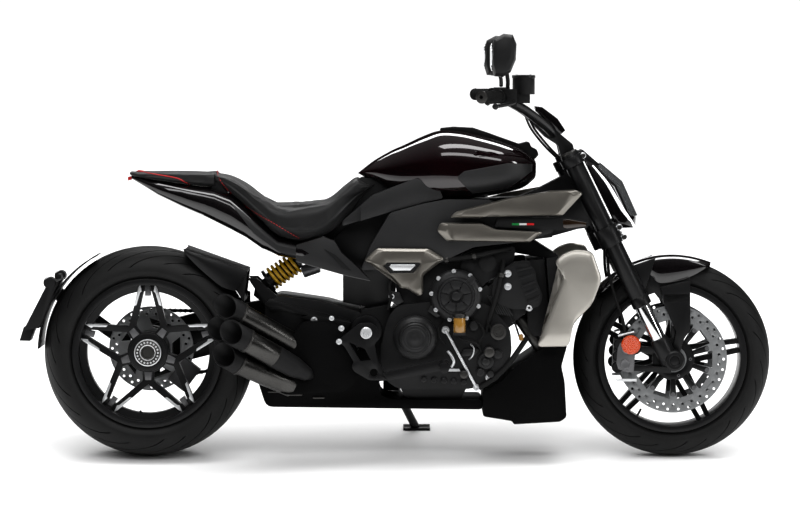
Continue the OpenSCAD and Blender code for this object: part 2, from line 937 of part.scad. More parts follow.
tail_rows = [[-845, 856, 850, 845, 56, 0.6], [-764, 841, 818, 794, 92, 0.56], [-690, 830.5, 796, 758, 108, 0.56],
  [-620, 821, 776, 728, 118, 0.56], [-592, 817.5, 766, 714, 121, 0.56], [-544, 799.5, 744, 690, 126, 0.56],
  [-496, 759.5, 712, 665, 134, 0.56], [-447, 714.5, 672, 632, 142, 0.56], [-398, 671.5, 640, 612, 146, 0.56],
  [-325, 655.5, 626, 598, 146, 0.56], [-250, 650, 622, 596, 140, 0.56]];

wing_outline = [[-345, 600], [-345, 652], [-262, 677], [-228, 664], [-206, 627], [-156, 582], [-118, 541],
  [-189, 556]];
wing_recess = [[-262, 640], [-226, 622], [-178, 574], [-204, 580]];

module tail_frame() {
  rows = [for (r = tail_rows) [r[0], r[1] + 3, r[2], r[3], r[4] * tail_width, r[5]]];
  color([0.1, 0.1, 0.1])
    parked()
      difference() {
        union() {
          loft([for (r = rows) body_ring(r, 28)]);
          both_sides()
            plate(rounded(wing_outline, 5), 112, 143);
        }
        both_sides()
          plate(wing_recess, 136, 160);
        seat_form(0.4);
        pad_form(0.4);
        plate([[-490, 560], [-490, 630], [-420, 650], [-240, 655], [-240, 560]], -46, 46);
      }
}

module tail_light() {
  color([0.5, 0.02, 0.02])
    parked()
      plate([[-857, 840], [-845 - fit, 843], [-845 - fit, 853], [-857, 852]], -48, 48);
}

// REAR SUSPENSION

arm_outline = [[pivot_x - 10, pivot_z + 60], [-260, 466], [-420, 470], [-600, 440], [rear_x, rear_z + 70],
  [rear_x - 60, rear_z + 36], [rear_x - 60, rear_z - 36], [rear_x, rear_z - 70], [-600, 300], [-420, 334],
  [-260, 338], [pivot_x - 10, pivot_z - 52]];
beam_outline = [[pivot_x - 12, pivot_z + 52], [-250, 474], [-400, 496], [-440, 470], [-440, 400], [-400, 346],
  [-260, 340], [pivot_x - 12, pivot_z - 50]];

module swingarm() {
  bracket = [shock_at(-26, 22), shock_at(-26, -22), [-410, 485], [-430, 450], [-478, 490]];
  color([0.1, 0.1, 0.1])
    parked()
      difference() {
        union() {
          plate(rounded(arm_outline, 30), 128, 176);
          around_rear()
            translate([0, 0, -182])
              cylinder(r = 68, h = 98);
          around_rear()
            rotate(caliper_angle)
              translate([30, -28, -108])
                cube([122, 56, 16 - fit]);
          plate(rounded(beam_outline, 16), -106, 130);
          rod_y(pivot_x, pivot_z, 46, -140, 176);
          plate(bracket, -24, 24);
          both_sides()
            plate([[-494, 545], [-467, 545], [-404, 490], [-408, 455], [-420, 446], [-440, 462]], 42, 56);
          plate([[-440, 470], [-425, 486], [-404, 478], [-184, 424], [-184, 408], [-390, 452], [-420, 448]],
            -114, -100);
          plate([[-331, 431], [-300, 437], [-180, 414], [-190, 396], [-250, 404], [-300, 418]], -119, -100);
        }
        around_rear()
          translate([0, 0, -200])
            cylinder(r = rear_axle_r + fit, h = 150);
        rod_y(pivot_x, pivot_z, 18, -300, 300);
      }
}

module on_shock() {
  translate([shock_low[0], 0, shock_low[1]])
    rotate([0, 90 - shock_slope, 0])
      children();
}

module shock_body() {
  color([0.2, 0.2, 0.2])
    parked()
      on_shock()
        union() {
          translate([0, 0, -26 + fit])
            cylinder(r = 14, h = shock_l + 55 - 2 * fit);
          cylinder(r = spring_r + wire_r, h = 8);
          translate([0, 0, 4])
            cylinder(r = spring_r - wire_r - 3, h = shock_l - 8);
          translate([0, 0, shock_l - 8])
            cylinder(r = spring_r + wire_r, h = 8);
        }
}

module shock_spring() {
  steps = spring_turns * 14;
  path_l = shock_l - 16 - 2 * wire_r - 1;
  path = [for (i = [0 : steps]) let (a = 360 * i / 14)
    [spring_r * cos(a), spring_r * sin(a), 8.5 + wire_r + path_l * i / steps]];
  color([0.85, 0.62, 0.08])
    parked()
      on_shock()
        tube(path, wire_r, [0, 0, 1], 8);
}

// outline of the chain's run round both sprockets, off its pitch line
module chain_band(off) {
  hull() {
    translate([rear_x, rear_z])
      circle(sprocket_r + off);
    translate([drive_x, drive_z])
      circle(drive_r + off);
  }
}

module chain() {
  color([0.35, 0.34, 0.32])
    parked()
      for (y = [chain_y - 7.5, chain_y + 4.5]) {
        translate([0, y + 3, 0])
          rotate([90, 0, 0])
            linear_extrude(3)
              difference() {
                chain_band(6.5);
                chain_band(-6.5);
              }
      }
}

guard_rear_r = rear_tyre_r + 10;

// arched sheet about an axle between two angles
module arch(r, t, y0, y1, from, to) {
  translate([0, 0, -y1])
    linear_extrude(y1 - y0)
      difference() {
        circle(r + t);
        circle(r);
        rotate(from)
          translate([-600, -1200])
            square([1200, 1200]);
        rotate(to - 180)
          translate([-600, -1200])
            square([1200, 1200]);
      }
}

module rear_mudguard() {
  g = guard_rear_r;
  crest = [rear_x + 304, rear_z + 249];
  skirt = concat([for (a = [70 : -6 : 28]) rear_at(g + 1, a)], [crest]);
  color([0.07, 0.07, 0.07])
    parked()
      union() {
        both_sides()
          plate(skirt, 98, 104);
        plate([rear_at(g + 1, 68.8), rear_at(g + 6, 70), crest, crest + [-2, -6], rear_at(g + 4, 66)], -104, 104);
        around_rear() {
          arch(g, guard_t, -104, 104, 28, 70);
          arch(g, guard_t + 2, 90, 150, 28, 36);
        }
        plate([[-530, 452.6], [-495, 458.5], [-495, 490], [-520, 500]], 130, 150);
      }
}

function rear_at(r, a) = [rear_x + r * cos(a), rear_z + r * sin(a)];

module plate_carrier() {
  g = guard_rear_r;
  bar = rear_at(g + 12.3, 151.7);
  stalk = rear_at(g + 30, 142.5);
  color([0.06, 0.06, 0.06])
    parked()
      union() {
        around_rear()
          arch(g, guard_t, -80, 80, 118, 178);
        plate([rear_at(g + 38, 145), rear_at(g + 15, 140.8), rear_at(g + 6, 167), rear_at(g + 52, 169.8)], -90, 90);
        rod_y(bar[0], bar[1], 8, 60, 138);
        plate([[rear_x - 68 - fit, rear_z - 20], [rear_x - 68 - fit, rear_z + 25], rear_at(g + 8, 147),
          rear_at(g + 23, 152), rear_at(g - 6, 155)], 128, 138);
        plate([rear_at(g + 65, 175.3), rear_at(g + 33, 175), rear_at(g + 25, 169), rear_at(g + 58, 169)], -34, 34);
        both_sides()
          union() {
            rod_y(stalk[0], stalk[1], 9, 80, 140);
            rod_y(stalk[0], stalk[1], 16, 136, 180);
          }
      }
}

module rear_caliper() {
  color([0.3, 0.3, 0.3])
    parked()
      around_rear()
        rotate(caliper_angle)
          difference() {
            translate([98, -42, -92])
              cube([62, 84, 46]);
            translate([0, 0, -rear_disc_y - rear_disc_t - 2])
              cylinder(r = rear_disc_r + 4, h = rear_disc_t + 4);
          }
}

// FOOT CONTROLS AND STAND

hanger_outline = [[-203, 382], [-217, 366], [-198, 352], [-170, 305], [-177, 291], [-170, 277], [-124, 250],
  [-66, 250], [-98, 307], [-108, 357], [-98, 375], [-100, 408], [-117, 422], [-150, 422]];
hanger_window = [[-184, 364], [-137, 344], [-119, 310], [-150, 308]];

module footpeg_plates() {
  color([0.12, 0.12, 0.12])
    parked()
      both_sides()
        union() {
          difference() {
            plate(rounded(hanger_outline, 8), 214, 226);
            plate(hanger_window, 200, 240);
            rod_y(-110, 273, 12, 200, 240);
          }
          rod_y(pivot_x, pivot_z, 17.7, 100, 220);
        }
}

module foot_controls() {
  color([0.4, 0.4, 0.4])
    parked()
      both_sides()
        union() {
          rod_y(99, 296, 15, 226, 330);
          plate(rounded([[86, 312], [114, 312], [114, 282], [-66, 250], [-84, 272]], 6), 226, 236);
        }
}

module rear_reservoir() {
  color([0.75, 0.4, 0.05])
    parked()
      translate([146, -case_half_w - 54, 392])
        cylinder(r = 18, h = 44);
}

module side_stand() {
  color([0.1, 0.1, 0.1])
    parked()
      difference() {
        union() {
          on_stand()
            translate([0, 0, -14])
              cylinder(r = 21, h = 28);
          tube([lerp(stand_pivot, stand_foot, 0.02), lerp(stand_pivot, stand_foot, 0.5),
            lerp(stand_pivot, stand_foot, 0.96)], stand_r, [1, 0, 0]);
          translate(stand_foot)
            rotate([lean_angle, 0, 0])
              translate([-42, -24, 0])
                cube([84, 48, foot_t]);
        }
        on_stand()
          translate([0, 0, -40])
            cylinder(r = stand_pin_r + fit, h = 80);
      }
}

// STEERING

module clamp_plate(t, h, grow) {
  translate([0, 0, t])
    linear_extrude(h)
      union() {
        for (s = [-1, 1]) {
          translate([clamp_offset, s * fork_y])
            circle(fork_outer_r + grow);
        }
        circle(stem_r + 14);
        polygon([[-22, -40], [clamp_offset + 16, -fork_y], [clamp_offset + 16, fork_y], [-22, 40]]);
      }
}

module triple_clamps() {
  color([0.1, 0.1, 0.1])
    parked()
      on_head()
        difference() {
          union() {
            clamp_plate(lower_clamp_t, lower_clamp_h, 9);
            clamp_plate(upper_clamp_t, upper_clamp_h, 8);
            translate([0, 0, lower_clamp_t])
              cylinder(r = stem_r, h = upper_clamp_t + upper_clamp_h - lower_clamp_t + 12);
            translate([20, -30, lower_clamp_t + 15])
              cube([lamp_back - 20 - fit, 60, 24]);
            translate([20, -30, upper_clamp_t + 2])
              cube([lamp_back - 20 - fit, 60, 20]);
          }
          for (s = [-1, 1]) {
            translate([clamp_offset, s * fork_y, 0])
              cylinder(r = fork_outer_r + fit, h = 900);
          }
        }
}

module fork_tubes() {
  color([0.06, 0.06, 0.06])
    parked()
      on_head()
        for (s = [-1, 1]) {
          translate([clamp_offset, s * fork_y, slider_t])
            cylinder(r = fork_outer_r, h = fork_top_t - slider_t);
        }
}

module fork_stanchions() {
  color([0.75, 0.75, 0.76])
    parked()
      on_head()
        for (s = [-1, 1]) {
          translate([clamp_offset, s * fork_y, 62])
            cylinder(r = fork_inner_r, h = slider_t - 62 - fit);
        }
}

module fork_feet() {
  color([0.1, 0.1, 0.1])
    parked()
      union() {
        on_head()
          for (s = [-1, 1]) {
            translate([clamp_offset, s * fork_y, 0])
              cylinder(r = 27, h = 62 - fit);
            translate([axle_offset, s * fork_y + 23, 0])
              rotate([90, 0, 0])
                cylinder(r = 31, h = 46);
          }
        around_front() {
          translate([0, 0, -fork_y - 30])
            cylinder(r = front_axle_r, h = 2 * fork_y + 60);
          for (s = [-1, 1]) {
            rotate(caliper_front) {
              translate([5, 24, s * (fork_y - 16) - 6.5])
                cube([113 - fit, 18, 13]);
              translate([5, -34, s * (fork_y - 16) - 6.5])
                cube([113 - fit, 18, 13]);
            }
          }
        }
      }
}

function head_at(ahead, along) = [head_x + ahead * cos(rake) - along * sin(rake),
  head_z + ahead * sin(rake) + along * cos(rake)];
riser_t = 690 + fit;

// bars, controls, mirrors and display are drawn for an upper clamp whose top is 690 up the axis
module raised() {
  rise = upper_clamp_t + upper_clamp_h - 690;
  translate([-rise * sin(rake), 0, rise * cos(rake)])
    children();
}

bar_end_r = 4;
grip_start = [262, 330, 1098];
grip_end = [205, bar_end_y, 1097];
bar_knots = [[432, 0, 978], [430, 55, 981], [404, 115, 1008], [338, 222, 1058], grip_start];
bar_path = concat(smooth(bar_knots, 3), [lerp(grip_start, grip_end, 0.86)]);

module handlebar() {
  half = bar_path;
  whole = concat([for (i = [len(half) - 1 : -1 : 1]) [half[i][0], -half[i][1], half[i][2]]], half);
  color([0.08, 0.08, 0.08])
    parked() raised()
      union() {
        tube(whole, bar_r, [0, 0, 1]);
        for (s = [-1, 1]) {
          plate(rounded([[344, 1042], [352, 1052], [374, 1047], [412, 1015], [438.2, 994.9], [454.8, 980.7], [490, 952],
            head_at(36, riser_t), head_at(-10, riser_t), [446, 948], [408, 972], [356, 1026]], 4),
            s * 47 - 16, s * 47 + 16);
        }
      }
}

module grips() {
  run = grip_end - grip_start;
  color([0.06, 0.06, 0.06])
    parked() raised()
      both_sides()
        translate(lerp(grip_start, grip_end, 0.06))
          rotate([0, acos(run[2] / norm(run)), atan2(run[1], run[0])])
            difference() {
              cylinder(r = grip_r, h = norm(run) * 0.94);
              translate([0, 0, -1])
                cylinder(r = bar_r + fit, h = norm(run) * 0.82);
              cylinder(r = bar_end_r, h = norm(run));
            }
}

module bar_controls() {
  color([0.08, 0.08, 0.08])
    parked() raised() {
      both_sides()
        difference() {
          union() {
            translate([262, 296, 1070])
              cube([50, 30, 50]);
            tube(smooth([[308, 306, 1084], [296, 350, 1078], [246, 425, 1070]], 3), 6, [0, 0, 1], 8);
          }
          tube(bar_path, bar_r + fit, [0, 0, 1]);
        }
      union() {
        translate([334, -262, 1104])
          cylinder(r = 33, h = 48);
        difference() {
          translate([306, -290, 1078])
            cube([46, 60, 28]);
          mirror([0, 1, 0])
            tube(bar_path, bar_r + fit, [0, 0, 1]);
        }
      }
    }
}

module brake_hoses() {
  color([0.05, 0.05, 0.05])
    parked()
      both_sides()
        tube(smooth([[595.6, 66, 640.7], [600, 92, 560], [622, 100, 480], [642, 92, 420], [652, 89, 362]], 5),
          5, [0, 1, 0], 8);
}

mirror_outline = [[233, 1243], [242, 1267], [270, 1282], [297, 1279], [308, 1252], [306, 1206], [291, 1170],
  [267, 1155], [242, 1158], [233, 1188]];
mirror_rows = [[336, 0.45], [344, 0.8], [360, 0.96], [400, 1], [438, 0.96], [458, 0.82], [466, 0.5]];

module mirrors() {
  color([0.06, 0.06, 0.06])
    parked() raised()
      both_sides()
        union() {
          tube(smooth([[285, 311, 1123.7], [285, 326, 1144], [280, 370, 1172]], 4), 6, [1, 0, 0], 8);
          domed(mirror_outline, [270, 1218], mirror_rows);
        }
}

module display() {
  color([0.05, 0.05, 0.05])
    parked() raised()
      plate(rounded([[374, 1066], [398, 1063], [444, 1029], [468, 993], [455, 981], [438.4, 995.2], [414, 1018],
        [380, 1050]], 2), -66, 66);
}

// headlight outline ahead of and along the steering axis, drawn in towards its sides
lamp_outline = [[lamp_back, 418], [lamp_back, 676], [58, 668], [87, 629], [123.6, 549], [121, 433], [105, 404],
  [66, 420]];
lens_outline = [[88.6, 630], [93.4, 632], [130.6, 550.4], [128, 436], [122.8, 436], [125.4, 549.4]];
lamp_rows = [[-72, 0.5, 0.8], [-64, 0.74, 0.9], [-50, 0.89, 0.96], [-28, 0.98, 1], [0, 1, 1], [28, 0.98, 1],
  [50, 0.89, 0.96], [64, 0.74, 0.9], [72, 0.5, 0.8]];
lens_rows = [for (k = [1 : len(lamp_rows) - 2]) lamp_rows[k]];

module lamp_form(p, rows) {
  on_head()
    loft([for (r = rows) [for (q = p) [lamp_back + (q[0] - lamp_back) * r[1], r[0], 545 + (q[1] - 545) * r[2]]]]);
}

module headlight() {
  color([0.05, 0.05, 0.05])
    parked()
      lamp_form(lamp_outline, lamp_rows);
}

module headlight_lens() {
  color([0.8, 0.8, 0.8])
    parked()
      lamp_form(lens_outline, lens_rows);
}

guard_front_r = front_tyre_r + 10;
function front_at(r, a) = [front_x + r * cos(a), front_z + r * sin(a)];
guard_side = concat([for (a = [118 : -8 : 70]) front_at(guard_front_r + 2, a)], [[859, 558], [849, 509], [846, 392],
  [827, 366], [805, 401], [764, 474], [738, 505], [700, 480], [664, 480]]);

module front_mudguard() {
  color([0.05, 0.05, 0.05])
    parked()
      union() {
        around_front()
          arch(guard_front_r, guard_t, -72, 72, 68, 140);
        both_sides()
          union() {
            plate(guard_side, 65, 69);
            plate([[742, 608], [690, 590], [640, 572], [664, 480], [700, 480]], 66, fork_y - fork_outer_r - fit);
          }
      }
}

module front_calipers() {
  color([0.35, 0.35, 0.34])
    parked()
      around_front()
        for (s = [-1, 1]) {
          rotate(caliper_front)
            difference() {
              translate([118, -48, s * (front_disc_y + front_disc_t / 2) - 22])
                cube([56, 96, 44]);
              translate([0, 0, s * (front_disc_y + front_disc_t / 2) - front_disc_t / 2 - 2])
                cylinder(r = front_disc_r + 4, h = front_disc_t + 4);
            }
        }
}

module reflectors() {
  color([0.9, 0.3, 0.02])
    parked()
      both_sides()
        rod_y(666, 346, 29, front_disc_y + front_disc_t / 2 + 22 + fit, front_disc_y + front_disc_t / 2 + 30);
}

main_frame();
engine_case();
cylinder_heads();
engine_covers();
engine_fittings();
radiator();
radiator_shrouds();
belly_pan();
exhaust_headers();
exhaust_box();
silencer_cover();
silencer_cans();
silencer_outlets();
fuel_tank();
tank_console();
knee_panels();
side_covers();
intake_blades();
front_indicators();
vee_covers();
seat();
pillion_pad();
tail_frame();
tail_light();
swingarm();
shock_body();
shock_spring();
chain();
rear_mudguard();
plate_carrier();
rear_caliper();
footpeg_plates();
foot_controls();
rear_reservoir();
side_stand();
triple_clamps();
fork_tubes();
fork_stanchions();
fork_feet();
handlebar();
grips();
bar_controls();
brake_hoses();
mirrors();
display();
headlight();
headlight_lens();
front_mudguard();
front_calipers();
reflectors();
front_tyre();
front_rim();
front_discs();
rear_tyre();
rear_rim();
rear_disc();
rear_sprocket();
rear_axle();
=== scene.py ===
import json
import math

import bpy
import numpy as np
from mathutils import Matrix, Vector


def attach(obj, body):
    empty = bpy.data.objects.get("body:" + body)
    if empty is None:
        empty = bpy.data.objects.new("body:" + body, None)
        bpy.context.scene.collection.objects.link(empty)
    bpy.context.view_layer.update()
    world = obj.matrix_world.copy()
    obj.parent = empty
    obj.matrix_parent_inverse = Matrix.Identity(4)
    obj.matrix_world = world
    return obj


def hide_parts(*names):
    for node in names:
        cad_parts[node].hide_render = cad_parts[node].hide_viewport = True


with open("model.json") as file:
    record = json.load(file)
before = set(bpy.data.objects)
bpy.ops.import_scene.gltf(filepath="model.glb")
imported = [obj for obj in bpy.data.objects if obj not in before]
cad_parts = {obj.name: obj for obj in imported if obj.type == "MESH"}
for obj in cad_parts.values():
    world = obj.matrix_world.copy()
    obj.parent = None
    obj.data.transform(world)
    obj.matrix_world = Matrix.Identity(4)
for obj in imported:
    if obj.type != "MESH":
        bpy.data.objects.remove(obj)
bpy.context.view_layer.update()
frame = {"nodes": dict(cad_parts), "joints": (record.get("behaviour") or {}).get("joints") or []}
nodes = frame["nodes"]
print("frame loaded:", len(nodes), "nodes")

# the bike stands leaned over on its side stand; its own upright frame is in mm,
# x ahead from the middle of the wheelbase, y to the rider's left, z up from the road
stance = {"lean": 9.0, "wheelbase": 1593.0, "rearRadius": 320.0, "frontRadius": 300.0,
          "rake": 26.0, "axleOffset": 31.0}

leanRad = math.radians(stance["lean"])
rearPos = next(j["pos_m"] for j in frame["joints"] if j["name"] == "rear_wheel_spin")
parkX = rearPos[0] * 1000 + stance["wheelbase"] / 2
parkY = rearPos[1] * 1000 - stance["rearRadius"] * math.sin(leanRad)
parkZ = rearPos[2] * 1000 - stance["rearRadius"] * math.cos(leanRad)
frontX, rearX = stance["wheelbase"] / 2, -stance["wheelbase"] / 2
rakeRad = math.radians(stance["rake"])
headX = frontX - stance["axleOffset"] * math.cos(rakeRad)
headZ = stance["frontRadius"] - stance["axleOffset"] * math.sin(rakeRad)


def toRow(p):
    # upright bike point in mm, leaned about the road line and shifted to its place, in metres
    p = np.asarray(p, float)
    c, s = math.cos(leanRad), math.sin(leanRad)
    return np.stack([p[..., 0] + parkX, p[..., 1] * c + p[..., 2] * s + parkY,
                     -p[..., 1] * s + p[..., 2] * c + parkZ], -1) / 1000


def onHead(p):
    # steering frame (ahead of the axis, left, up along the axis) to the upright bike frame
    p = np.asarray(p, float)
    c, s = math.cos(rakeRad), math.sin(rakeRad)
    return np.stack([headX + p[..., 0] * c - p[..., 2] * s, p[..., 1],
                     headZ + p[..., 0] * s + p[..., 2] * c], -1)


def gridFaces(nu, nv, closeU=False, closeV=False):
    # quads of a grid of nu by nv points, the last row or column joined to the first on request
    i, j = np.meshgrid(np.arange(nu if closeU else nu - 1), np.arange(nv if closeV else nv - 1),
                       indexing="ij")
    a, b = i * nv + j, ((i + 1) % nu) * nv + j
    c, d = ((i + 1) % nu) * nv + (j + 1) % nv, i * nv + (j + 1) % nv
    return np.stack([a, b, c, d], -1).reshape(-1, 4)


def outward(part):
    # faces turned to point outwards: the volume under the fans of their corners comes out positive
    p = np.asarray(part[0], float).reshape(-1, 3)
    fans = np.array([(f[0], f[k], f[k + 1]) for f in part[1] for k in range(1, len(f) - 1)])
    a, b, c = (p[fans[:, k]] - p.mean(0) for k in range(3))
    volume = np.einsum("ij,ij->", a, np.cross(b, c))
    return p, part[1] if volume > 0 else [list(f)[::-1] for f in part[1]]


def addMesh(name, points, faces, body, material):
    points, faces = outward((points, faces))
    mesh = bpy.data.meshes.new(name)
    mesh.from_pydata(points.tolist(), [], [list(map(int, f)) for f in faces])
    mesh.polygons.foreach_set("use_smooth", np.full(len(mesh.polygons), True))
    mesh.update()
    piece = bpy.data.objects.new(name, mesh)
    bpy.context.scene.collection.objects.link(piece)
    piece.data.materials.append(material)
    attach(piece, body)
    return piece


def joinParts(parts):
    # several closed (points, faces) parts as one, face numbers shifted by the points before them
    points, faces, start = [], [], 0
    for p, f in map(outward, parts):
        points.append(p)
        faces += [[int(k) + start for k in q] for q in f]
        start += len(p)
    return np.concatenate(points), faces


def unit(v):
    # vectors scaled to length one
    v = np.asarray(v, float)
    return v / (np.linalg.norm(v, axis=-1, keepdims=True) + 1e-12)


def roundAngles(count):
    return np.linspace(0, 2 * math.pi, count, endpoint=False)


def splineRows(rows, steps):
    # smooth cubic through the rows, its slope at a row half the step between its neighbours;
    # each span is cut in equal steps
    r = np.asarray(rows, float)
    p = np.concatenate([r[:1], r, r[-1:]])
    t = (np.arange(steps) / steps)[None, :, None]
    a, b, c, d = (p[k:len(p) - 3 + k, None, :] for k in range(4))
    q = 0.5 * (2 * b + (c - a) * t + (2 * a - 5 * b + 4 * c - d) * t ** 2
               + (3 * b - a - 3 * c + d) * t ** 3)
    return np.concatenate([q.reshape(-1, r.shape[1]), r[-1:]])


def bodyRings(rows, count):
    # each row (x, top, widest height, bottom, half width, squareness) drawn as a superellipse
    # whose upper and lower halves have their own heights
    r = np.asarray(rows, float)[:, None, :]
    a = roundAngles(count)[None, :]
    c, s = np.cos(a), np.sin(a)
    high = np.where(s >= 0, r[..., 1] - r[..., 2], r[..., 2] - r[..., 3])
    y = r[..., 4] * np.sign(c) * np.abs(c) ** r[..., 5]
    z = r[..., 2] + high * np.sign(s) * np.abs(s) ** r[..., 5]
    return np.stack([np.broadcast_to(r[..., 0], y.shape), y, z], -1)


def loftParts(rings):
    # skin over closed rings, with an end face on the first and last ring
    m, n = rings.shape[:2]
    faces = gridFaces(m, n, closeV=True).tolist()
    faces.append(list(range(n)))
    faces.append(list(range(m * n - 1, (m - 1) * n - 1, -1)))
    return rings.reshape(-1, 3), faces


def tubeParts(path, radius, sides=12):
    # circle carried along a path, its side vectors taken from the axis that the path follows least
    path = np.asarray(path, float)
    radius = np.broadcast_to(np.asarray(radius, float), (len(path),))[:, None, None]
    t = unit(np.gradient(path, axis=0))
    u = unit(np.cross(t, np.eye(3)[np.argmin(np.abs(t).sum(0))]))
    v = np.cross(t, u)
    a = roundAngles(sides)[None, :, None]
    return loftParts(path[:, None] + radius * (np.cos(a) * u[:, None] + np.sin(a) * v[:, None]))


def feed(tree, node, links):
    # outputs of other nodes linked to a node's inputs, by input name
    for key, source in links.items():
        tree.links.new(source, node.inputs[key])


def addNode(tree, kind, values=None, links=None, **traits):
    # shader node with its own settings, its input values and what is linked to its inputs
    node = tree.nodes.new(kind)
    for key, value in traits.items():
        setattr(node, key, value)
    for key, value in (values or {}).items():
        node.inputs[key].default_value = value
    feed(tree, node, links or {})
    return node


def newShader(name, base, rough, metal=0.0, **sockets):
    mat = bpy.data.materials.new(name)
    mat.use_nodes = True
    shader = mat.node_tree.nodes["Principled BSDF"]
    values = {"Base Color": (*base, 1), "Roughness": rough, "Metallic": metal}
    values.update((key.replace("_", " "), value) for key, value in sockets.items())
    for key, value in values.items():
        shader.inputs[key].default_value = value
    return mat, mat.node_tree, shader


def objectPlace(tree):
    return addNode(tree, "ShaderNodeTexCoord").outputs["Object"]


def noiseNode(tree, scale, detail=4.0, stretch=None):
    # noise on Object coordinates in metres; stretch is a scale and a turn that give a brushed look
    place = objectPlace(tree)
    if stretch:
        turn = [math.radians(d) for d in stretch[1]]
        place = addNode(tree, "ShaderNodeMapping", {"Rotation": turn, "Scale": stretch[0]},
                        {"Vector": place}).outputs["Vector"]
    return addNode(tree, "ShaderNodeTexNoise", {"Scale": scale, "Detail": detail, "Roughness": 0.55},
                   {"Vector": place}).outputs["Fac"]


def toneNode(tree, fac, low, high):
    # colour between low and high, over the middle of the noise's range
    node = addNode(tree, "ShaderNodeValToRGB", links={"Fac": fac})
    for stop, position, colour in zip(node.color_ramp.elements, (0.3, 0.7), (low, high)):
        stop.position, stop.color = position, (*colour, 1)
    return node.outputs["Color"]


def rangeNode(tree, fac, low, high, start=0.3, end=0.7):
    return addNode(tree, "ShaderNodeMapRange", {"From Min": start, "From Max": end, "To Min": low, "To Max": high},
                   {"Value": fac}).outputs["Result"]


def bumpNode(tree, height, strength, distance, under=None):
    links = {"Height": height, "Normal": under} if under else {"Height": height}
    return addNode(tree, "ShaderNodeBump", {"Strength": strength, "Distance": distance}, links).outputs["Normal"]


def surface(name, low, high, rough, metal=0.0, toneScale=6.0, grainScale=900.0, grain=0.15,
            grainDepth=0.0002, stretch=None, **sockets):
    # tone drifts slowly between low and high; fine grain drives the gloss and lifts the surface
    mat, tree, shader = newShader(name, low, rough[0], metal, **sockets)
    tone, fine = noiseNode(tree, toneScale, 5.0), noiseNode(tree, grainScale, 3.0, stretch)
    feed(tree, shader, {"Base Color": toneNode(tree, tone, low, high), "Roughness": rangeNode(tree, fine, *rough),
                        "Normal": bumpNode(tree, fine, grain, grainDepth)})
    return mat


def leatherSurface(name, low, high, rough, cell=420.0):
    # small cells with sunk joints over a soft unevenness, as on a grained vinyl cover
    mat, tree, shader = newShader(name, low, rough[0], Sheen_Weight=0.06, Sheen_Roughness=0.5,
                                  Specular_IOR_Level=0.3)
    cells = addNode(tree, "ShaderNodeTexVoronoi", {"Scale": cell}, {"Vector": objectPlace(tree)},
                    feature="DISTANCE_TO_EDGE")
    tone = noiseNode(tree, 14.0, 5.0)
    soft = bumpNode(tree, noiseNode(tree, 55.0, 4.0), 0.25, 0.001)
    feed(tree, shader, {"Base Color": toneNode(tree, tone, low, high), "Roughness": rangeNode(tree, tone, *rough),
                        "Normal": bumpNode(tree, cells.outputs["Distance"], 0.35, 0.0006, soft)})
    return mat


def turnedSurface(name, low, high, rough, centre, grooves=1400.0):
    # rings round an axle: the distance from the axle line drives fine noise, as on a ground disc
    mat, tree, shader = newShader(name, low, rough[0], 0.6)
    place = addNode(tree, "ShaderNodeMapping", {"Location": toRow(centre), "Rotation": (-leanRad, 0, 0)},
                    {"Vector": objectPlace(tree)}, vector_type="TEXTURE").outputs["Vector"]
    flat = addNode(tree, "ShaderNodeVectorMath", {1: (1, 0, 1)}, {0: place}, operation="MULTIPLY")
    reach = addNode(tree, "ShaderNodeVectorMath", links={0: flat.outputs["Vector"]}, operation="LENGTH")
    ring = addNode(tree, "ShaderNodeTexNoise", {"Scale": grooves, "Detail": 3.0},
                   {"W": reach.outputs["Value"]}, noise_dimensions="1D").outputs["Fac"]
    feed(tree, shader, {"Base Color": toneNode(tree, ring, low, high), "Roughness": rangeNode(tree, ring, *rough),
                        "Normal": bumpNode(tree, ring, 0.1, 0.0001)})
    return mat


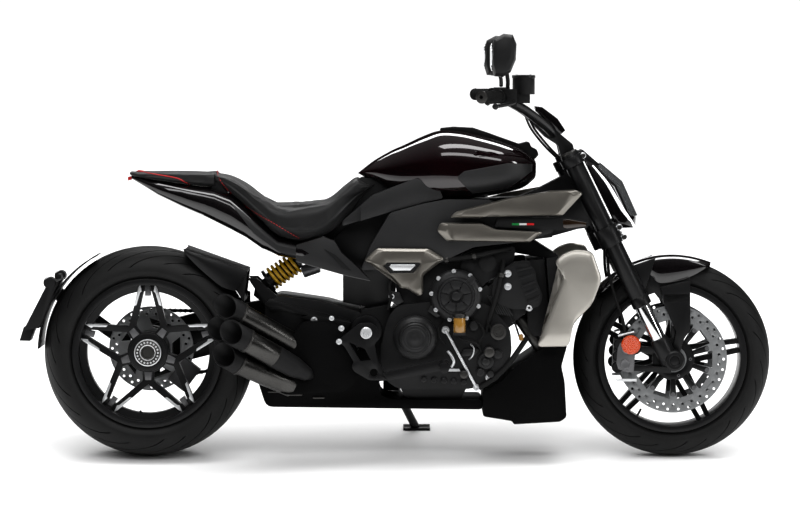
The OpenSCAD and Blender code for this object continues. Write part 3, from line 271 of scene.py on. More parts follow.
# each finish is a shader with its own noise for tone, gloss and grain
finish = {
    "gloss": surface("glossBlack", (0.003, 0.0025, 0.0028), (0.005, 0.004, 0.0045), (0.06, 0.1),
                     grainScale=260, grain=0.02, grainDepth=0.0001, Coat_Weight=0.8, Coat_Roughness=0.03),
    "tank": surface("tankPaint", (0.0028, 0.0008, 0.0012), (0.006, 0.001, 0.0018), (0.07, 0.12), 0.2,
                    grainScale=2600, grain=0.02, grainDepth=0.0001, Coat_Weight=1.0, Coat_Roughness=0.02),
    "gunmetal": surface("champagnePaint", (0.165, 0.155, 0.138), (0.2, 0.188, 0.167), (0.28, 0.36), 0.85,
                        grainScale=3200, grain=0.06, grainDepth=0.0001, Coat_Weight=0.4, Coat_Roughness=0.12),
    "greyPanel": surface("mattGreyPanel", (0.012, 0.012, 0.0125), (0.018, 0.018, 0.0185), (0.38, 0.48),
                         grainScale=1500, grain=0.12, Specular_IOR_Level=0.32),
    "satin": surface("satinBlack", (0.0035, 0.0035, 0.0038), (0.006, 0.006, 0.0064), (0.3, 0.42),
                     grainScale=1100, grain=0.1, Specular_IOR_Level=0.3),
    # painted shade: a darker copy of the moulded black, for the low parts under the engine where shade falls
    "deep": surface("shadedDeepBlack", (0.0012, 0.0012, 0.0013), (0.0025, 0.0025, 0.0026), (0.5, 0.65),
                    grainScale=1200, grain=0.2, Specular_IOR_Level=0.08),
    # painted light: a brighter copy of the champagne paint, for the radiator shrouds as if more brightly lit
    "shroud": surface("shroudPaintLit", (0.36, 0.345, 0.315), (0.42, 0.4, 0.365), (0.3, 0.38), 0.8,
                      grainScale=3200, grain=0.06, grainDepth=0.0001, Coat_Weight=0.4, Coat_Roughness=0.12),
    "plastic": surface("mouldedBlack", (0.0045, 0.0045, 0.0048), (0.007, 0.007, 0.0073), (0.45, 0.58),
                       grainScale=1300, grain=0.25, Specular_IOR_Level=0.24),
    "cast": surface("castAlloy", (0.006, 0.006, 0.0063), (0.011, 0.011, 0.0115), (0.42, 0.55), 0.1,
                    grainScale=700, grain=0.3, grainDepth=0.0003, Specular_IOR_Level=0.28),
    "cover": surface("engineCover", (0.013, 0.013, 0.0135), (0.02, 0.02, 0.0205), (0.34, 0.44), 0.25,
                     grainScale=900, grain=0.12, Specular_IOR_Level=0.35),
    "silver": surface("machinedSilver", (0.6, 0.61, 0.62), (0.7, 0.71, 0.72), (0.3, 0.42), 0.75,
                      grainScale=1500, grain=0.08),
    "steel": surface("brushedCan", (0.055, 0.054, 0.052), (0.09, 0.088, 0.085), (0.24, 0.36), 1.0,
                     grainScale=600, grain=0.1, stretch=((0.04, 1, 1), (0, 29, -24))),
    "darkSteel": surface("darkSteel", (0.045, 0.044, 0.043), (0.075, 0.073, 0.07), (0.32, 0.46), 0.9,
                         grainScale=800, grain=0.15),
    "chrome": surface("hardChrome", (0.72, 0.73, 0.74), (0.78, 0.79, 0.8), (0.08, 0.14), 1.0,
                      grainScale=1800, grain=0.02),
    "spring": surface("goldSpring", (0.5, 0.29, 0.012), (0.6, 0.36, 0.02), (0.25, 0.36), 0.2,
                      grainScale=1200, grain=0.05, Coat_Weight=0.5),
    "caliper": surface("greyCaliper", (0.1, 0.1, 0.103), (0.14, 0.14, 0.144), (0.34, 0.46), 0.6,
                       grainScale=1200, grain=0.12),
    "amber": surface("amberPlastic", (0.17, 0.085, 0.016), (0.26, 0.14, 0.03), (0.12, 0.2),
                     grainScale=400, grain=0.05, Coat_Weight=0.6),
    "orange": surface("orangeReflector", (0.36, 0.032, 0.002), (0.46, 0.05, 0.003), (0.14, 0.24),
                      grainScale=420, grain=0.2, grainDepth=0.0004, Coat_Weight=0.7),
    "redLens": surface("redLens", (0.3, 0.008, 0.008), (0.4, 0.012, 0.01), (0.08, 0.15),
                       grainScale=300, grain=0.1, Coat_Weight=0.8),
    "rubber": surface("blackRubber", (0.005, 0.005, 0.005), (0.008, 0.008, 0.008), (0.6, 0.75),
                      grainScale=1000, grain=0.25, Specular_IOR_Level=0.22),
    "tyre": surface("tyreRubber", (0.0045, 0.0045, 0.0046), (0.008, 0.008, 0.0079), (0.5, 0.66),
                    toneScale=9.0, grainScale=800, grain=0.2, grainDepth=0.0003, Specular_IOR_Level=0.25),
    "seat": leatherSurface("seatCover", (0.0045, 0.0045, 0.0047), (0.0075, 0.0075, 0.0078), (0.45, 0.58)),
    "redThread": surface("redThread", (0.35, 0.012, 0.014), (0.5, 0.02, 0.02), (0.6, 0.75),
                         grainScale=2500, grain=0.4),
    "white": surface("whiteLamp", (0.85, 0.86, 0.87), (0.92, 0.93, 0.94), (0.15, 0.25),
                     grainScale=500, grain=0.05, Emission_Color=(1, 1, 1, 1), Emission_Strength=0.6),
    "frontDisc": turnedSurface("frontDiscSteel", (0.17, 0.175, 0.178), (0.22, 0.225, 0.228), (0.38, 0.5),
                               (frontX, 0, stance["frontRadius"])),
    "rearDisc": turnedSurface("rearDiscSteel", (0.3, 0.305, 0.31), (0.38, 0.385, 0.39), (0.38, 0.5),
                              (rearX, 0, stance["rearRadius"])),
    "green": surface("stripeGreen", (0.01, 0.16, 0.04), (0.014, 0.2, 0.05), (0.2, 0.3),
                     grainScale=900, grain=0.05),
    "red": surface("stripeRed", (0.42, 0.012, 0.014), (0.5, 0.018, 0.02), (0.2, 0.3),
                   grainScale=900, grain=0.05),
    "plate": surface("blankPlate", (0.5, 0.5, 0.5), (0.56, 0.56, 0.56), (0.3, 0.42),
                     grainScale=500, grain=0.08),
    "smoked": surface("smokedLens", (0.012, 0.007, 0.004), (0.02, 0.011, 0.006), (0.06, 0.12),
                      grainScale=300, grain=0.15, Coat_Weight=0.8),
}
lens, lensTree, lensShader = newShader("clearLens", (0.2, 0.205, 0.21), 0.04, Transmission_Weight=0.8, IOR=1.45)
feed(lensTree, lensShader, {"Roughness": rangeNode(lensTree, noiseNode(lensTree, 40.0), 0.02, 0.07)})
finish["lens"] = lens
print("finishes made:", len(finish))

nodeFinish = {
    "cast": ["engine_case", "cylinder_heads"],
    "cover": ["engine_covers", "engine_fittings"],
    "gunmetal": ["intake_blades", "vee_covers"],
    # radiator shrouds take the brighter champagne copy as painted light
    "shroud": ["radiator_shrouds"],
    # belly pan and exhaust box take the darker black as painted shade
    "deep": ["belly_pan", "exhaust_box"],
    "tank": ["fuel_tank"],
    "greyPanel": ["knee_panels", "side_covers"],
    "gloss": ["tail_frame", "display", "headlight", "front_mudguard"],
    "plastic": ["tank_console", "rear_mudguard", "plate_carrier", "bar_controls", "radiator",
                "silencer_cover", "front_indicators", "silencer_outlets", "mirrors"],
    "satin": ["foot_controls", "main_frame", "swingarm", "shock_body", "footpeg_plates", "side_stand",
              "triple_clamps", "fork_tubes", "fork_feet", "handlebar", "front_rim", "rear_rim"],
    "rubber": ["grips", "brake_hoses"],
    "tyre": ["front_tyre", "rear_tyre"],
    "steel": ["silencer_cans"],
    "darkSteel": ["exhaust_headers", "chain", "rear_sprocket"],
    "chrome": ["fork_stanchions"],
    "frontDisc": ["front_discs"],
    "rearDisc": ["rear_disc"],
    "spring": ["shock_spring"],
    "caliper": ["front_calipers", "rear_caliper"],
    "amber": ["rear_reservoir"],
    "orange": ["reflectors"],
    "lens": ["headlight_lens"],
    "redLens": ["tail_light"],
    "silver": ["rear_axle"],
    "seat": ["seat", "pillion_pad"],
}


def softShadeGroup():
    # shades smooth except over edges sharper than the limit
    group = bpy.data.node_groups.new("softShade", "GeometryNodeTree")
    group.interface.new_socket("Geometry", in_out="INPUT", socket_type="NodeSocketGeometry")
    group.interface.new_socket("Geometry", in_out="OUTPUT", socket_type="NodeSocketGeometry")
    made = group.nodes.new
    start, end = made("NodeGroupInput"), made("NodeGroupOutput")
    faces, edges = made("GeometryNodeSetShadeSmooth"), made("GeometryNodeSetShadeSmooth")
    faces.domain, edges.domain = "FACE", "EDGE"
    edges.inputs["Shade Smooth"].default_value = False
    angle, limit = made("GeometryNodeInputMeshEdgeAngle"), made("FunctionNodeCompare")
    limit.data_type, limit.operation = "FLOAT", "GREATER_THAN"
    limit.inputs["B"].default_value = math.radians(32)
    group.links.new(start.outputs[0], faces.inputs["Geometry"])
    group.links.new(faces.outputs[0], edges.inputs["Geometry"])
    group.links.new(angle.outputs["Unsigned Angle"], limit.inputs["A"])
    group.links.new(limit.outputs["Result"], edges.inputs["Selection"])
    group.links.new(edges.outputs[0], end.inputs[0])
    return group


softShade = softShadeGroup()


def softEdges(piece, width, limit):
    # edges eased where a width is given, then shaded smooth except over sharp ones
    if width:
        ease = piece.modifiers.new("ease", "BEVEL")
        ease.width, ease.segments = width, 2
        ease.limit_method, ease.angle_limit = "ANGLE", math.radians(limit)
    piece.modifiers.new("shade", "NODES").node_group = softShade


def dressNode(name, material):
    # a CAD node keeps its mesh: welded, edges eased, shaded smooth, with its own finish
    piece = nodes[name]
    piece.data.materials.clear()
    piece.data.materials.append(material)
    piece.modifiers.new("weld", "WELD").merge_threshold = 0.00002
    softEdges(piece, 0.0012, 38)


for finishName, names in nodeFinish.items():
    for nodeName in names:
        dressNode(nodeName, finish[finishName])
print("nodes dressed")


def mirrored(part):
    # the same part on the other side of the centre plane, its faces turned to point outwards again
    points, faces = part
    return np.asarray(points, float).reshape(-1, 3) * (1, -1, 1), [list(f)[::-1] for f in faces]


def plateParts(outline, y0, y1):
    # outline in the side view carried straight across from y0 to y1, its corners put in one order first
    o = np.asarray(outline, float)
    area = np.sum(o[:, 0] * np.roll(o[:, 1], -1) - np.roll(o[:, 0], -1) * o[:, 1])
    o = o[::-1] if area > 0 else o
    rings = np.stack([np.stack([o[:, 0], np.full(len(o), y), o[:, 1]], -1) for y in (y0, y1)])
    return loftParts(rings)


def bodySide(rows, x, z):
    # half width of the body at a point of its side view, from the superellipse of the section at x
    r = np.stack([np.interp(x, rows[:, 0], rows[:, k]) for k in range(rows.shape[1])], -1)
    high = np.where(z >= r[..., 2], r[..., 1] - r[..., 2], r[..., 2] - r[..., 3])
    s = np.clip(np.abs(z - r[..., 2]) / high, 0, 1) ** (1 / r[..., 5])
    return r[..., 4] * np.sqrt(np.clip(1 - s * s, 0, 1)) ** r[..., 5]


def patchSkin(rows, top, low, lift, nu=60, nv=20):
    # the body's own skin over a patch between two lines of the side view, lifted a little
    top, low = np.array(top, float), np.array(low, float)
    x = np.linspace(max(top[0, 0], low[0, 0]), min(top[-1, 0], low[-1, 0]), nu)[:, None] + np.zeros((1, nv))
    up, down = np.interp(x, *top.T), np.interp(x, *low.T)
    z = down + (up - down) * np.linspace(0, 1, nv)[None]
    return np.stack([x, -bodySide(rows, x, z) - lift, z], -1)


def shellParts(outer, thickness):
    # open sheet of points made a closed shell: its back is the sheet moved along its own normals
    n = unit(np.cross(np.gradient(outer, axis=0), np.gradient(outer, axis=1)))
    inner = outer - n * thickness
    a, b = outer.shape[:2]
    ring = np.concatenate([np.arange(b), np.arange(1, a) * b + b - 1,
                           (a - 1) * b + np.arange(b - 2, -1, -1), np.arange(a - 2, 0, -1) * b])
    edge = np.stack([ring, ring + a * b, np.roll(ring, -1) + a * b, np.roll(ring, -1)], -1)
    faces = gridFaces(a, b)
    return (np.concatenate([outer.reshape(-1, 3), inner.reshape(-1, 3)]),
            np.concatenate([faces, faces[:, ::-1] + a * b, edge]).tolist())


def turned(profile, base, direction, count=20, loop=False):
    # profile of (radius, distance along the line) turned round the line from base;
    # loop closes the profile on itself
    p, d = np.asarray(profile, float), unit(direction)
    u = unit(np.cross(d, np.eye(3)[np.argmin(np.abs(d))]))
    a = roundAngles(count)[:, None]
    ring = np.cos(a) * u + np.sin(a) * np.cross(d, u)
    rings = np.asarray(base, float) + p[:, 1, None, None] * d + p[:, 0, None, None] * ring
    if loop:
        return rings.reshape(-1, 3), gridFaces(len(p), count, True, True).tolist()
    return loftParts(rings)


def bolt(base, direction, r, h, count=14):
    # cap screw: washer, eased head and sunk socket turned round its axis
    return turned([(1.3 * r, 0), (1.3 * r, .2 * h), (r, .22 * h), (r, .86 * h), (.86 * r, h), (.56 * r, h),
                   (.5 * r, .95 * h), (.46 * r, .6 * h)], base, direction, count)


def aroundAxle(centre, r, degrees, y):
    a = math.radians(degrees)
    return np.array([centre[0] + r * math.cos(a), y, centre[2] + r * math.sin(a)])


def boltCircle(centre, r, y, count, head, first=0.0, sides=14):
    # bolts evenly round a point of the side view, their heads away from the centre plane
    away = (0, math.copysign(1, y), 0)
    return [bolt(aroundAxle(centre, r, first + 360 / count * k, y), away, *head, sides) for k in range(count)]


def prism(outline, origin, u, v, low, high):
    # outline drawn on the two directions u and v, carried along their cross product from low to high
    o, u, v = np.asarray(outline, float), unit(u), unit(v)
    flat = np.asarray(origin, float) + o[:, :1] * u + o[:, 1:] * v
    return loftParts(np.stack([flat + np.cross(u, v) * w for w in (low, high)]))


def both(parts):
    # parts of the right side with their mirror images on the left
    return list(parts) + [mirrored(p) for p in parts]


def build(name, parts, body, look, ease=0.0):
    # parts joined as one piece, edges eased and shaded as the CAD nodes are
    points, faces = joinParts(parts)
    piece = addMesh(name, toRow(points), faces, body, finish[look])
    softEdges(piece, ease, 35)
    return piece


def alongPath(path, step):
    # path cut into equal steps of its own length
    path = np.asarray(path, float)
    s = np.concatenate([[0], np.cumsum(np.linalg.norm(np.diff(path, axis=0), axis=1))])
    t = np.linspace(0, s[-1], max(2, int(round(s[-1] / step)) + 1))
    return np.stack([np.interp(t, s, path[:, k]) for k in range(path.shape[1])], -1)


def hose(points, radius, sides=12, steps=8):
    return tubeParts(splineRows(points, steps), radius, sides)


rightSide = (0, -1, 0)


def capsOf(rows):
    # turned parts on the right side, from rows of profile, place and count
    return [turned(profile, place, rightSide, count) for profile, place, count in rows]


def platesOf(rows):
    # plates from rows of outline and reach across
    return [plateParts(outline, *y) for outline, y in rows]


def hosesOf(rows):
    # hoses from rows of points, radius and sides
    return [hose(points, radius, sides) for points, radius, sides in rows]


tank = {"steps": 6, "count": 144, "rows": [
    (-160, 864, 863, 861.5, 42, .8), (-135, 884, 866, 848, 68, .8), (-106, 905, 868, 834, 88, .78),
    (-60, 931, 866, 806, 106, .75), (-20, 949, 866, 792, 124, .72), (40, 977, 870, 786, 152, .7),
    (90, 993, 874, 786, 172, .68), (150, 991, 874, 786, 186, .66), (210, 979, 874, 790, 190, .66),
    (280, 960, 876, 802, 180, .68), (340, 936, 882, 818, 150, .72), (378, 906, 884, 846, 104, .8)],
    "panelTop": ((141, 858), (160, 874), (291, 898), (366, 893)),
    "panelLow": ((141, 850), (184, 806), (291, 820), (366, 872)),
    "panelLift": 1.6, "panelGrid": (64, 24), "panelThick": 3.0}


def makeTank():
    # rounded sections lofted along x through a smooth curve of their sizes
    rows = splineRows(tank["rows"], tank["steps"])
    points, faces = loftParts(bodyRings(rows, tank["count"]))
    piece = addMesh("tankShell", toRow(points), faces, "chassis", finish["tank"])
    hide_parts("fuel_tank")
    # matt front panel: the same skin over a patch of the side view, a little proud of the paint
    skin = patchSkin(rows, tank["panelTop"], tank["panelLow"], tank["panelLift"], *tank["panelGrid"])
    points, faces = joinParts(both([shellParts(skin, tank["panelThick"])]))
    addMesh("tankPanels", toRow(points), faces, "chassis", finish["greyPanel"])


seat = {"steps": 8, "count": 112, "fill": 0.85, "swell": 3.5, "cap": 6.0, "rows": [
    (-592, 872, 852, 838, 92, .7), (-544, 863, 832, 800, 108, .68), (-496, 839, 802, 760, 128, .66),
    (-447, 801, 762, 715, 148, .64), (-398, 771, 726, 672, 164, .62), (-325, 776, 722, 656, 172, .62),
    (-252, 794, 740, 680, 160, .64), (-203, 833, 778, 715, 126, .68), (-165, 858.5, 814, 765, 100, .72),
    (-135, 845.5, 824, 800, 84, .76), (-108, 832.5, 829.5, 826, 66, .8)]}
pad = {"steps": 10, "count": 112, "fill": 0.85, "swell": 3.0, "cap": 5.0, "rows": [
    (-851, 868, 863, 858, 52, .7), (-836, 874, 862, 852, 78, .66), (-764, 876, 856, 841.5, 96, .62),
    (-690, 876, 850, 831, 104, .62), (-620, 874, 844, 821.5, 100, .64), (-593, 871, 842, 818, 94, .68)]}


stitching = {"seat": ((-589, 869), (-560, 823), (-505, 768), (-407, 714), (-331, 668)),
             "pad": ((-832, 869), (-770, 861), (-706, 850), (-679, 837), (-668, 830)),
             "dash": 7.0, "gap": 3.2, "radius": 1.0, "piping": 1.7, "sink": 2.2, "width": 4.5}
cover = {"pressure": 4, "frames": 20, "restShare": 0.4}


def swell(points, faces, held, cap):
    # cloth pass in metres: inner pressure blows the cover out, it is held where it rests,
    # and no point travels farther than the cap
    scene = bpy.context.scene
    mesh = bpy.data.meshes.new("coverWork")
    mesh.from_pydata(points.tolist(), [], [list(map(int, f)) for f in faces])
    work = bpy.data.objects.new("coverWork", mesh)
    scene.collection.objects.link(work)
    work.vertex_groups.new(name="held").add(np.flatnonzero(held).tolist(), 1.0, "REPLACE")
    cloth = work.modifiers.new("cloth", "CLOTH")
    cloth.settings.use_pressure = True
    cloth.settings.uniform_pressure_force = cover["pressure"]
    cloth.settings.vertex_group_mass = "held"
    cloth.settings.effector_weights.gravity = 0
    cloth.point_cache.frame_start, cloth.point_cache.frame_end = 1, cover["frames"]
    for k in range(1, cover["frames"] + 1):
        scene.frame_set(k)
    blown = work.evaluated_get(bpy.context.evaluated_depsgraph_get()).to_mesh()
    moved = np.empty(len(points) * 3)
    blown.vertices.foreach_get("co", moved)
    bpy.data.objects.remove(work)
    bpy.data.meshes.remove(mesh)
    scene.frame_set(1)
    shift = moved.reshape(-1, 3) - points
    far = np.linalg.norm(shift, axis=1, keepdims=True)
    return points + shift * np.minimum(1, cap / np.maximum(far, 1e-9))


def onCover(points, path, side):
    # side-view path laid on the cover: its half width is the mean of the nearest points of that side
    near = points[points[:, 1] * side > 0]
    far = np.hypot(path[:, :1] - near[None, :, 0], path[:, 1:] - near[None, :, 2])
    pick = np.argsort(far, axis=1)[:, :6]
    weight = 1 / (np.take_along_axis(far, pick, 1) + 0.3) ** 2
    y = (near[pick, 1] * weight).sum(1) / weight.sum(1)
    return np.stack([path[:, 0], y, path[:, 1]], -1)


def dashes(path, dash, gap, radius):
    # short tubes with a gap between, each a slice of the path
    line = alongPath(path, 0.5)
    step, length = int((dash + gap) / 0.5), int(dash / 0.5)
    return [tubeParts(line[k:k + length + 1:length // 4 or 1], radius, 6)
            for k in range(0, len(line) - length, step)]


def makeSeats():
    # rounded sections lofted along x, started small, blown out as cloth, then drawn in along the seam
    threads = []
    for key, spec, name, node in (("seat", seat, "seatCushion", "seat"),
                                  ("pad", pad, "pillionCushion", "pillion_pad")):
        rows = splineRows(spec["rows"], spec["steps"])
        rest = rows[:, 2] - cover["restShare"] * (rows[:, 2] - rows[:, 3])
        rows[:, 1] -= np.minimum(spec["swell"], 0.3 * (rows[:, 1] - rows[:, 2]))
        rows[:, 4] -= spec["swell"]
        rings = bodyRings(rows, spec["count"])
        held = (rings[..., 2] < rest[:, None]).ravel()
        endRings = 2 * spec["count"]
        held[:endRings] = held[-endRings:] = True
        points, faces = loftParts(rings)
        points = swell(points / 1000, faces, held, spec["cap"] / 1000) * 1000
        grid = points.reshape(rings.shape)
        n = unit(np.cross(np.gradient(grid, axis=0), np.roll(grid, -1, 1) - np.roll(grid, 1, 1))).reshape(-1, 3)
        fromMiddle = points - grid.mean(1).repeat(spec["count"], 0)
        inward = n * np.where((n * fromMiddle).sum(1) > 0, -1, 1)[:, None]
        path = splineRows(stitching[key], 12)
        for side in (1, -1):
            seam = alongPath(onCover(points, path, side), 2.0)
            far = np.linalg.norm(points[:, None] - seam[None], axis=2).min(1)
            points = points + inward * (stitching["sink"] * np.exp(-(far / stitching["width"]) ** 2))[:, None]
            seam = onCover(points, path, side) + (0, 0.5 * side, 0)
            if key == "seat":
                threads += dashes(seam, stitching["dash"], stitching["gap"], stitching["radius"])
            else:
                threads.append(tubeParts(alongPath(seam, 4.0), stitching["piping"], 8))
        piece = addMesh(name, toRow(points), faces, "chassis", finish["seat"])
        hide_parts(node)
    build("seatThread", threads, "chassis", "redThread")


tyres = {
    "front": {"node": "front_tyre", "body": "front_wheel", "centre": (frontX, 0, 300), "radius": 300,
              "shoulder": 246, "width": 120, "rim": 92, "pitches": 11, "depth": 3.6, "groove": 6.0, "lean": 1.35},
    "rear": {"node": "rear_tyre", "body": "rear_wheel", "centre": (rearX, 0, 320), "radius": 320,
             "shoulder": 250, "width": 240, "rim": 204, "pitches": 10, "depth": 4.0, "groove": 8.0, "lean": 1.6}}
tyreShape = {"bead": (216.4, 222.0), "heel": 228.0, "wall": 238.0, "middle": (240, 0),
             "ringAt": 236, "ringWidth": 1.6, "ringHeight": 0.9}


def makeTyre(key):
    # section of bead, sidewall and elliptical crown turned round the axle; the grid is swept back towards
    # the shoulders so that the grooves run along its lines
    spec = tyres[key]
    half = spec["rim"] / 2 - 0.4
    a = np.linspace(0, math.pi, 81)
    crown = np.stack([spec["shoulder"] + (spec["radius"] - spec["shoulder"]) * np.sin(a),
                      spec["width"] / 2 * np.cos(a)], -1)
    b = np.linspace(0, 1, 13)[1:-1, None]
    low, mid = np.array([tyreShape["heel"], half]), np.array([tyreShape["wall"], spec["width"] / 2 - 2])
    wall = (1 - b) ** 2 * crown[0] + 2 * b * (1 - b) * mid + b * b * low
    side = np.concatenate([[(q, half) for q in tyreShape["bead"]], [low], wall[::-1]])
    section = np.concatenate([side, crown, side[::-1] * (1, -1)])
    d = np.gradient(section, axis=0)
    n = unit(np.stack([-d[:, 1], d[:, 0]], -1))
    n = n * np.where((n * (section - tyreShape["middle"])).sum(1) >= 0, 1, -1)[:, None]
    reach = np.abs(section[:, 1]) / (spec["width"] / 2)
    # cuts of one pitch: close together at the two grooves, even between them
    wide = spec["groove"] / 2 / (2 * math.pi * spec["radius"] / spec["pitches"])
    lines = np.concatenate([c + wide * np.array([-1.2, -1, -.6, .6, 1, 1.2]) for c in (0.25, 0.75)]
                           + [np.array([0, .05, .1, .15, .35, .4, .45, .5, .55, .6, .65, .85, .9, .95])])
    cut = (np.arange(spec["pitches"])[:, None] + np.sort(lines)[None]).ravel()
    top = np.clip((section[:, 0] - spec["shoulder"]) / 12, 0, 1)
    sink = np.zeros((len(cut), len(section)))
    for centre, other in ((0.25, 0.75), (0.75, 0.25)):
        for place, start, end in ((centre, 0.08, 0.93), (other, 0.52, 0.985)):
            deep = np.clip((1 - np.abs(cut % 1 - place) / wide) / 0.4, 0, 1)[:, None]
            taper = np.clip((reach - start) / 0.05, 0, 1) * np.clip((end - reach) / 0.02, 0, 1) * top
            mine = (section[:, 1] > 0) == (centre < 0.5)
            sink = np.maximum(sink, deep * (taper * mine)[None])
    sink *= spec["depth"]
    angle = 2 * math.pi / spec["pitches"] * (cut[:, None] + spec["lean"] * np.minimum(reach, 1)[None] ** 1.5)
    # a low ring on each sidewall
    ring = np.exp(-((section[:, 0] - tyreShape["ringAt"]) / tyreShape["ringWidth"]) ** 2)
    ring *= (section[:, 0] < spec["shoulder"]) * tyreShape["ringHeight"]
    r = section[None, :, 0] + (ring - sink) * n[None, :, 0]
    y = section[None, :, 1] + (ring - sink) * n[None, :, 1]
    points = np.stack([r * np.cos(angle), y, r * np.sin(angle)], -1) + spec["centre"]
    piece = addMesh(key + "TyreTread", toRow(points), gridFaces(len(cut), len(section), True, True).tolist(),
                    spec["body"], finish["tyre"])
    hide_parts(spec["node"])
    softEdges(piece, 0, 0)


frontGuard = {
    "centre": (frontX, 300), "radius": 314, "half": 71, "crown": 16, "from": 68, "to": 140, "thick": 4,
    "cheekLow": ((706, 571), (731, 552), (755, 531), (811, 538), (858, 555), (893, 576)), "cheekX": (706, 893),
    "cheekTop": 302, "cheekY": 69, "cheekThick": 3.5, "bulge": 8.0,
    "stay": ((742, 608), (690, 590), (640, 572), (664, 480), (700, 480)), "stayY": (66, 78),
    "leg": ((846, 548), (846, 472), (765, 472), (738, 505), (700, 480), (664, 480), (660, 570), (740, 590)),
    "legY": (65, 69), "boss": ((846, 540), (846, 472), (765, 472), (756, 520)), "bossY": (65, 89.5),
    "strut": ((846, 500), (847, 392), (828, 362), (815, 318), (790, 324), (804, 384), (765, 472), (765, 500)),
    "strutY": (85.5, 89.5)}


def makeFrontGuard():
    # arched sheet about the axle whose radius falls away to its edges, narrowed round at its front;
    # the cheeks bulge outwards between the arch and their lower edge
    spec = frontGuard
    u = np.linspace(0, 1, 90)[:, None]
    v = np.linspace(-1, 1, 40)[None, :]
    angle = np.radians(spec["from"] + (spec["to"] - spec["from"]) * u)
    frontCut, rearCut = np.clip(1 - u / 0.1, 0, 1) ** 2.2, np.clip(1 - (1 - u) / 0.1, 0, 1) ** 2
    half = spec["half"] * (1 - 0.4 * frontCut - 0.3 * rearCut)
    r = spec["radius"] - spec["crown"] * np.abs(v) ** 2.6 + 0 * u
    skin = np.stack([spec["centre"][0] + r * np.cos(angle), half * v, spec["centre"][1] + r * np.sin(angle)], -1)
    x = np.linspace(*spec["cheekX"], 60)[:, None]
    t = np.linspace(0, 1, 24)[None]
    top = spec["centre"][1] + np.sqrt(spec["cheekTop"] ** 2 - (x - spec["centre"][0]) ** 2)
    low = np.interp(x, *splineRows(spec["cheekLow"], 6).T)
    along = np.clip((x - spec["cheekX"][0]) / 40, 0, 1) * np.clip((spec["cheekX"][1] + 14 - x) / 60, 0, 1) ** 0.5
    y = -spec["cheekY"] - spec["bulge"] * np.sin(math.pi * (0.1 + 0.75 * t)) ** 0.7 * along
    cheek = shellParts(np.stack([x + 0 * t, y, low + (top - low) * t], -1), spec["cheekThick"])
    piece = build("frontGuard", [shellParts(skin, -spec["thick"])] + both([cheek]), "steering", "gloss", 0.0012)
    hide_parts("front_mudguard")
    # legs: inside the disc down to its rim, then out over it and down to the fork foot
    legs = platesOf((spec[key], spec[key + "Y"]) for key in ("stay", "leg", "boss", "strut"))
    build("guardLegs", both(legs), "steering", "satin", 0.0015)


def spun(outline, centre, degrees):
    # outline in a wheel's own side view turned about its axle
    o, a = np.asarray(outline, float), math.radians(degrees)
    return np.stack([centre[0] + o[:, 0] * math.cos(a) - o[:, 1] * math.sin(a),
                     centre[2] + o[:, 0] * math.sin(a) + o[:, 1] * math.cos(a)], -1)


# bolt circles are rows of radius, y, count, head, first angle and sides, as boltCircle takes them
rearWheel = {
    "spokes": 5, "barFrom": (69, 50), "barTo": (209, 16),
    "blade": ((0.5, 9.2), (0.53, 2.5), (0.8, 0.5), (0.84, -3.5), (0.985, 6.0), (0.9, 9.2)), "bladeY": (-73, -64.5),
    "foot": ((0.7, -9.5), (0.99, -9.5), (0.99, 9.5), (0.7, 9.5)), "footY": (-71.5, -60),
    "rimBlock": ((172, -9), (200, -7), (200, 7), (172, 9)), "rimBlockY": (-71, -34),
    "hubBlock": ((60, -12), (85, -9), (85, 9), (60, 12)), "hubBlockY": (-68, -60),
    "core": ((21.6, 0), (21.6, 9), (18, 10), (17, 4), (3, 4)), "coreY": -76,
    "flange": ((24, 0), (27, 1.4), (36, 1.4), (38, 0)), "flangeY": -87.2,
    "circles": ((31.5, -88.4, 20, (2.4, 1.6), 0, 10), (46, 193.5, 6, (5.5, 7)), (52, 71.5, 6, (5.5, 3))),
    "valve": ((-26, -34, -182), (-29, -24, -207))}
frontWheel = {
    "arm": ((60, -7), (60, 7), (106, 9), (112, 7), (112, -7), (106, -9)), "armY": (73.2, 79.3), "arms": 10,
    "ring": ((40, 0), (64, 0), (64, 6.1), (40, 6.1)), "ringY": -73.2,
    "circles": ((107, -79.5, 10, (5.2, 1.2), 18), (52, -78.8, 5, (5, 0.8))),
    "valve": ((185, 14), (208, 8)), "valveTurn": 240.642274}
valveSize = (3.4, 10)


